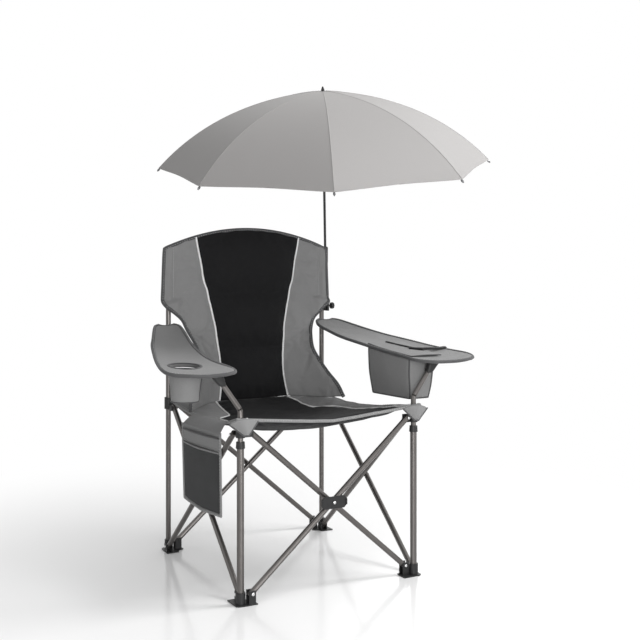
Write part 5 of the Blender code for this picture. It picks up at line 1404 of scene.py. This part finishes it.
studio = {
    "eye": (-1.3726, -2.7028, 0.945), "turn": -26.93, "lens": 55.8, "shiftX": 0.053, "shiftY": -0.106,
    "world": 0.56, "bias": (0.29, -0.05, 0.06), "floorHalf": 14, "floorHeight": -0.0004,
    # where each lamp stands, its size and its power
    "lamps": [("key", (2.5, -1.1, 3.7), 1.5, 122), ("front", (-0.9, -3.5, 0.9), 2.4, 68),
              ("rim", (2.6, 2.4, 2.0), 2.0, 20)],
}


def buildStudio():
    scene = bpy.context.scene
    scene.view_settings.view_transform = "Standard"
    floorMesh = bpy.data.meshes.new("floor")
    half, low = studio["floorHalf"], studio["floorHeight"]
    plan = [(-half, -half, low), (half, -half, low), (half, half, low), (-half, half, low)]
    floorMesh.from_pydata(plan, [], [(0, 1, 2, 3)])
    floor = bpy.data.objects.new("floor", floorMesh)
    scene.collection.objects.link(floor)
    fixed = {"Base Color": (0.86, 0.86, 0.86, 1), "Roughness": 0.16, "Specular IOR Level": 0.5}
    paint = Finish("pale_floor", fixed)
    # to the camera the floor glows white far from the chair and runs into the white backdrop; near the chair the
    # glow is held back, so the floor is darker there: a painted shadow round the chair, added to the shadow the
    # lamps cast
    seen = paint.node("ShaderNodeLightPath", output=0)
    glow = paint.node("ShaderNodeEmission", None, {"Color": (1, 1, 1, 1), "Strength": 1.0})
    place = paint.node("ShaderNodeTexCoord", output="Object")
    away = paint.node("ShaderNodeVectorMath", {"operation": "DISTANCE"}, {0: place, 1: tuple(home)}, 1)
    limits = {0: away, 1: 0.35, 2: 1.7, 3: 0.06, 4: 1.0}
    glowOutsidePaintedShadow = paint.node("ShaderNodeMapRange", {"interpolation_type": "SMOOTHSTEP"}, limits)
    share = seen * glowOutsidePaintedShadow
    mixed = paint.node("ShaderNodeMixShader", None, {0: share, 1: Value(paint, paint.shader.outputs[0]), 2: glow})
    surface = next(n for n in paint.tree.nodes if n.type == "OUTPUT_MATERIAL")
    paint.tree.links.new(mixed.socket, surface.inputs["Surface"])
    floorMesh.materials.append(paint.material)
    world = bpy.data.worlds.new("studio")
    scene.world = world
    world.use_nodes = True
    sky = NodeTree(world.node_tree)
    backdrop = sky.tree.nodes["Background"]
    backdrop.inputs["Color"].default_value = (1, 1, 1, 1)
    # full white where the camera, a mirror image or a see-through ray meets the world
    rays = ("Is Camera Ray", "Is Glossy Ray", "Is Transmission Ray")
    camera, glossy, through = [sky.node("ShaderNodeLightPath", output=ray) for ray in rays]
    full = camera.sum("MAXIMUM", camera, glossy)
    full = full.sum("MAXIMUM", full, through)
    # softer light for the object itself, stronger from the right than from the left
    away = sky.node("ShaderNodeTexCoord", output="Generated")
    sockets = {0: away, 1: studio["bias"]}
    toward = sky.node("ShaderNodeVectorMath", {"operation": "DOT_PRODUCT"}, sockets, "Value")
    level = sky.node("ShaderNodeMix", None, {0: full, 2: toward + studio["world"], 3: 1.0})
    sky.tree.links.new(level.socket, backdrop.inputs["Strength"])
    for name, place, size, power in studio["lamps"]:
        light = bpy.data.lights.new(name, "AREA")
        light.shape, light.size, light.energy = "DISK", size, power
        lamp = bpy.data.objects.new(name, light)
        lamp.location = home + Vector(place)
        lamp.rotation_euler = (home + Vector((0, 0, 0.7)) - lamp.location).to_track_quat("-Z", "Y").to_euler()
        scene.collection.objects.link(lamp)
    view = bpy.data.cameras.new("camera")
    view.lens, view.sensor_width = studio["lens"], 36
    view.shift_x, view.shift_y = studio["shiftX"], studio["shiftY"]
    camera = bpy.data.objects.new("camera", view)
    camera.location = home + Vector(studio["eye"])
    camera.rotation_euler = (math.radians(90), 0, math.radians(studio["turn"]))
    scene.collection.objects.link(camera)
    scene.camera = camera


buildStudio()
print("floor, light and camera made")
